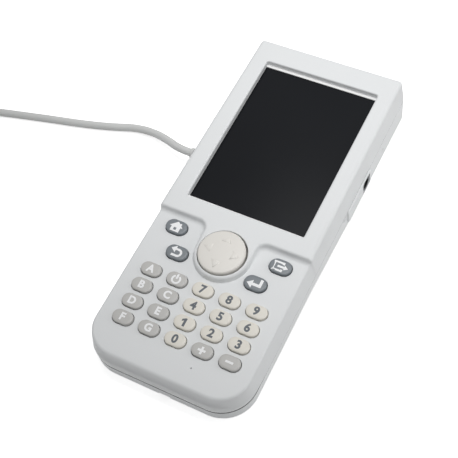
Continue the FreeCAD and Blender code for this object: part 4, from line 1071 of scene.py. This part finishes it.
flat_reach = PAD_RADIUS - PAD_EDGE
profile = [(0, PAD_RECESS[1]), (PAD_RECESS[0], PAD_RECESS[1]), (PAD_RECESS[0], PAD_FLANGE[2])]
profile += [(PAD_FLANGE[0], PAD_FLANGE[2]), (PAD_FLANGE[0], PAD_FLANGE[1])]
profile.append((PAD_RADIUS, PAD_FLANGE[1]))
for angle in reversed(ARC):
    out = flat_reach + PAD_EDGE * math.sin(angle)
    profile.append((out, pad_top(out, 0) - PAD_EDGE * (1 - math.cos(angle))))
for step in reversed(range(PAD_RINGS)):
    out = flat_reach * step / PAD_RINGS
    profile.append((out, pad_top(out, 0)))
pad_finish = moulded("pad_cream", colour(233, 230, 224), 0.42, **KEY_CAP, cloudiness=0.02)
pad_spot = face @ Matrix.Translation((COLLAR_MIDDLE + PAD_SHIFT).to_3d() * MM)
pad_mesh = turned("pad_disc", profile)
pad_disc = add("pad_disc", pad_mesh, "pad_cap", pad_finish, pad_spot)
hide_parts("pad_cap")
mesh = bmesh.new()
for quarter in range(4):
    turn = Matrix.Rotation(math.pi / 2 * quarter, 2)
    middle = turn @ Vector((ARROW_RADIUS, 0))
    tip, foot = ARROW_LENGTH * 2 / 3, -ARROW_LENGTH / 3
    corners = ((tip, 0), (foot, ARROW_HALF), (foot, -ARROW_HALF))
    corners = [turn @ Vector(corner) for corner in corners]
    loops = []
    for share, lift in ARROW_PROFILE:
        spots = [middle + corner * share for corner in corners]
        loops.append([(*spot, pad_top(*spot) + lift) for spot in spots])
    loft(mesh, loops)
arrow_mesh = smooth_mesh("pad_arrows", mesh, 60)
add("pad_arrows", arrow_mesh, "pad_cap", pad_finish, pad_spot)


# Table: a plain pale surface that takes the shadow, and a white surround for the camera and for
# what shows in polished metal. Two soft boxes, over the screen's end and from the right, light it
# with an even sky.
TABLE_HALF = 3.0
TABLE_GREY = 0.7
TABLE_PALE = 0.9
TABLE_GLOW = 0.68
SKY = 0.325
floor_mesh = bpy.data.meshes.new("table")
quarters = ((-1, -1), (1, -1), (1, 1), (-1, 1))
floor_corners = [(x * TABLE_HALF, y * TABLE_HALF, 0) for x, y in quarters]
floor_mesh.from_pydata(floor_corners, [], [(0, 1, 2, 3)])
floor = bpy.data.objects.new("table", floor_mesh)
bpy.context.scene.collection.objects.link(floor)


def seen_ray(wire):
    """1 for what the camera, polished metal or clear plastic looks at, and 0 for other light."""
    rays = ("Is Camera Ray", "Is Glossy Ray", "Is Transmission Ray")
    camera_ray, glossy_ray, clear_ray = (wire.node("LightPath", {}, {}, ray) for ray in rays)
    return camera_ray + glossy_ray + clear_ray


table, shader, place = surface("table")
table.cycles.emission_sampling = "NONE"
shader.inputs["Base Color"].default_value = (TABLE_GREY, TABLE_GREY, TABLE_GREY, 1)
shader.inputs["Roughness"].default_value = 1.0
shader.inputs["Specular IOR Level"].default_value = 0.0
pale = {
    "Base Color": (TABLE_PALE, TABLE_PALE, TABLE_PALE, 1), "Roughness": 1.0,
    "Specular IOR Level": 0.0, "Emission Color": (1, 1, 1, 1), "Emission Strength": TABLE_GLOW,
}
white_table = place.node("BsdfPrincipled", {}, pale)
grey_table = Wire(shader.outputs[0])
table_mix = place.node("MixShader", {}, {0: seen_ray(place), 1: grey_table, 2: white_table})
table_mix.into(table.node_tree.nodes["Material Output"], "Surface")
floor_mesh.materials.append(table)

world = bpy.data.worlds.new("studio")
bpy.context.scene.world = world
world.use_nodes = True
sky = world.node_tree.nodes["Background"]
sky.inputs["Color"].default_value = (1, 1, 1, 1)
sky.inputs["Strength"].default_value = SKY
even = Wire(sky.outputs[0])
white = even.node("Background", {}, {"Color": (1, 1, 1, 1), "Strength": 1.0})
surround = even.node("MixShader", {}, {0: seen_ray(even), 1: even, 2: white})
surround.into(world.node_tree.nodes["World Output"], "Surface")


def soft_box(name, size, watts, spread, place, aim):
    lamp_data = bpy.data.lights.new(name, "AREA")
    lamp_data.size = size
    lamp_data.energy = watts
    lamp_data.spread = math.radians(spread)
    lamp = bpy.data.objects.new(name, lamp_data)
    lamp.location = place
    lamp.rotation_euler = (Vector(aim) - lamp.location).to_track_quat("-Z", "Y").to_euler()
    bpy.context.scene.collection.objects.link(lamp)


soft_box(
    "over_screen", size=0.3, watts=0.235, spread=60,
    place=(0.0, 0.13, 0.52), aim=(0.0, 0.08, 0.02),
)
soft_box(
    "from_right", size=0.4, watts=0.85, spread=180,
    place=(0.6, 0.25, 0.27), aim=(0.0, 0.02, 0.0),
)
bpy.context.scene.view_settings.view_transform = "Standard"
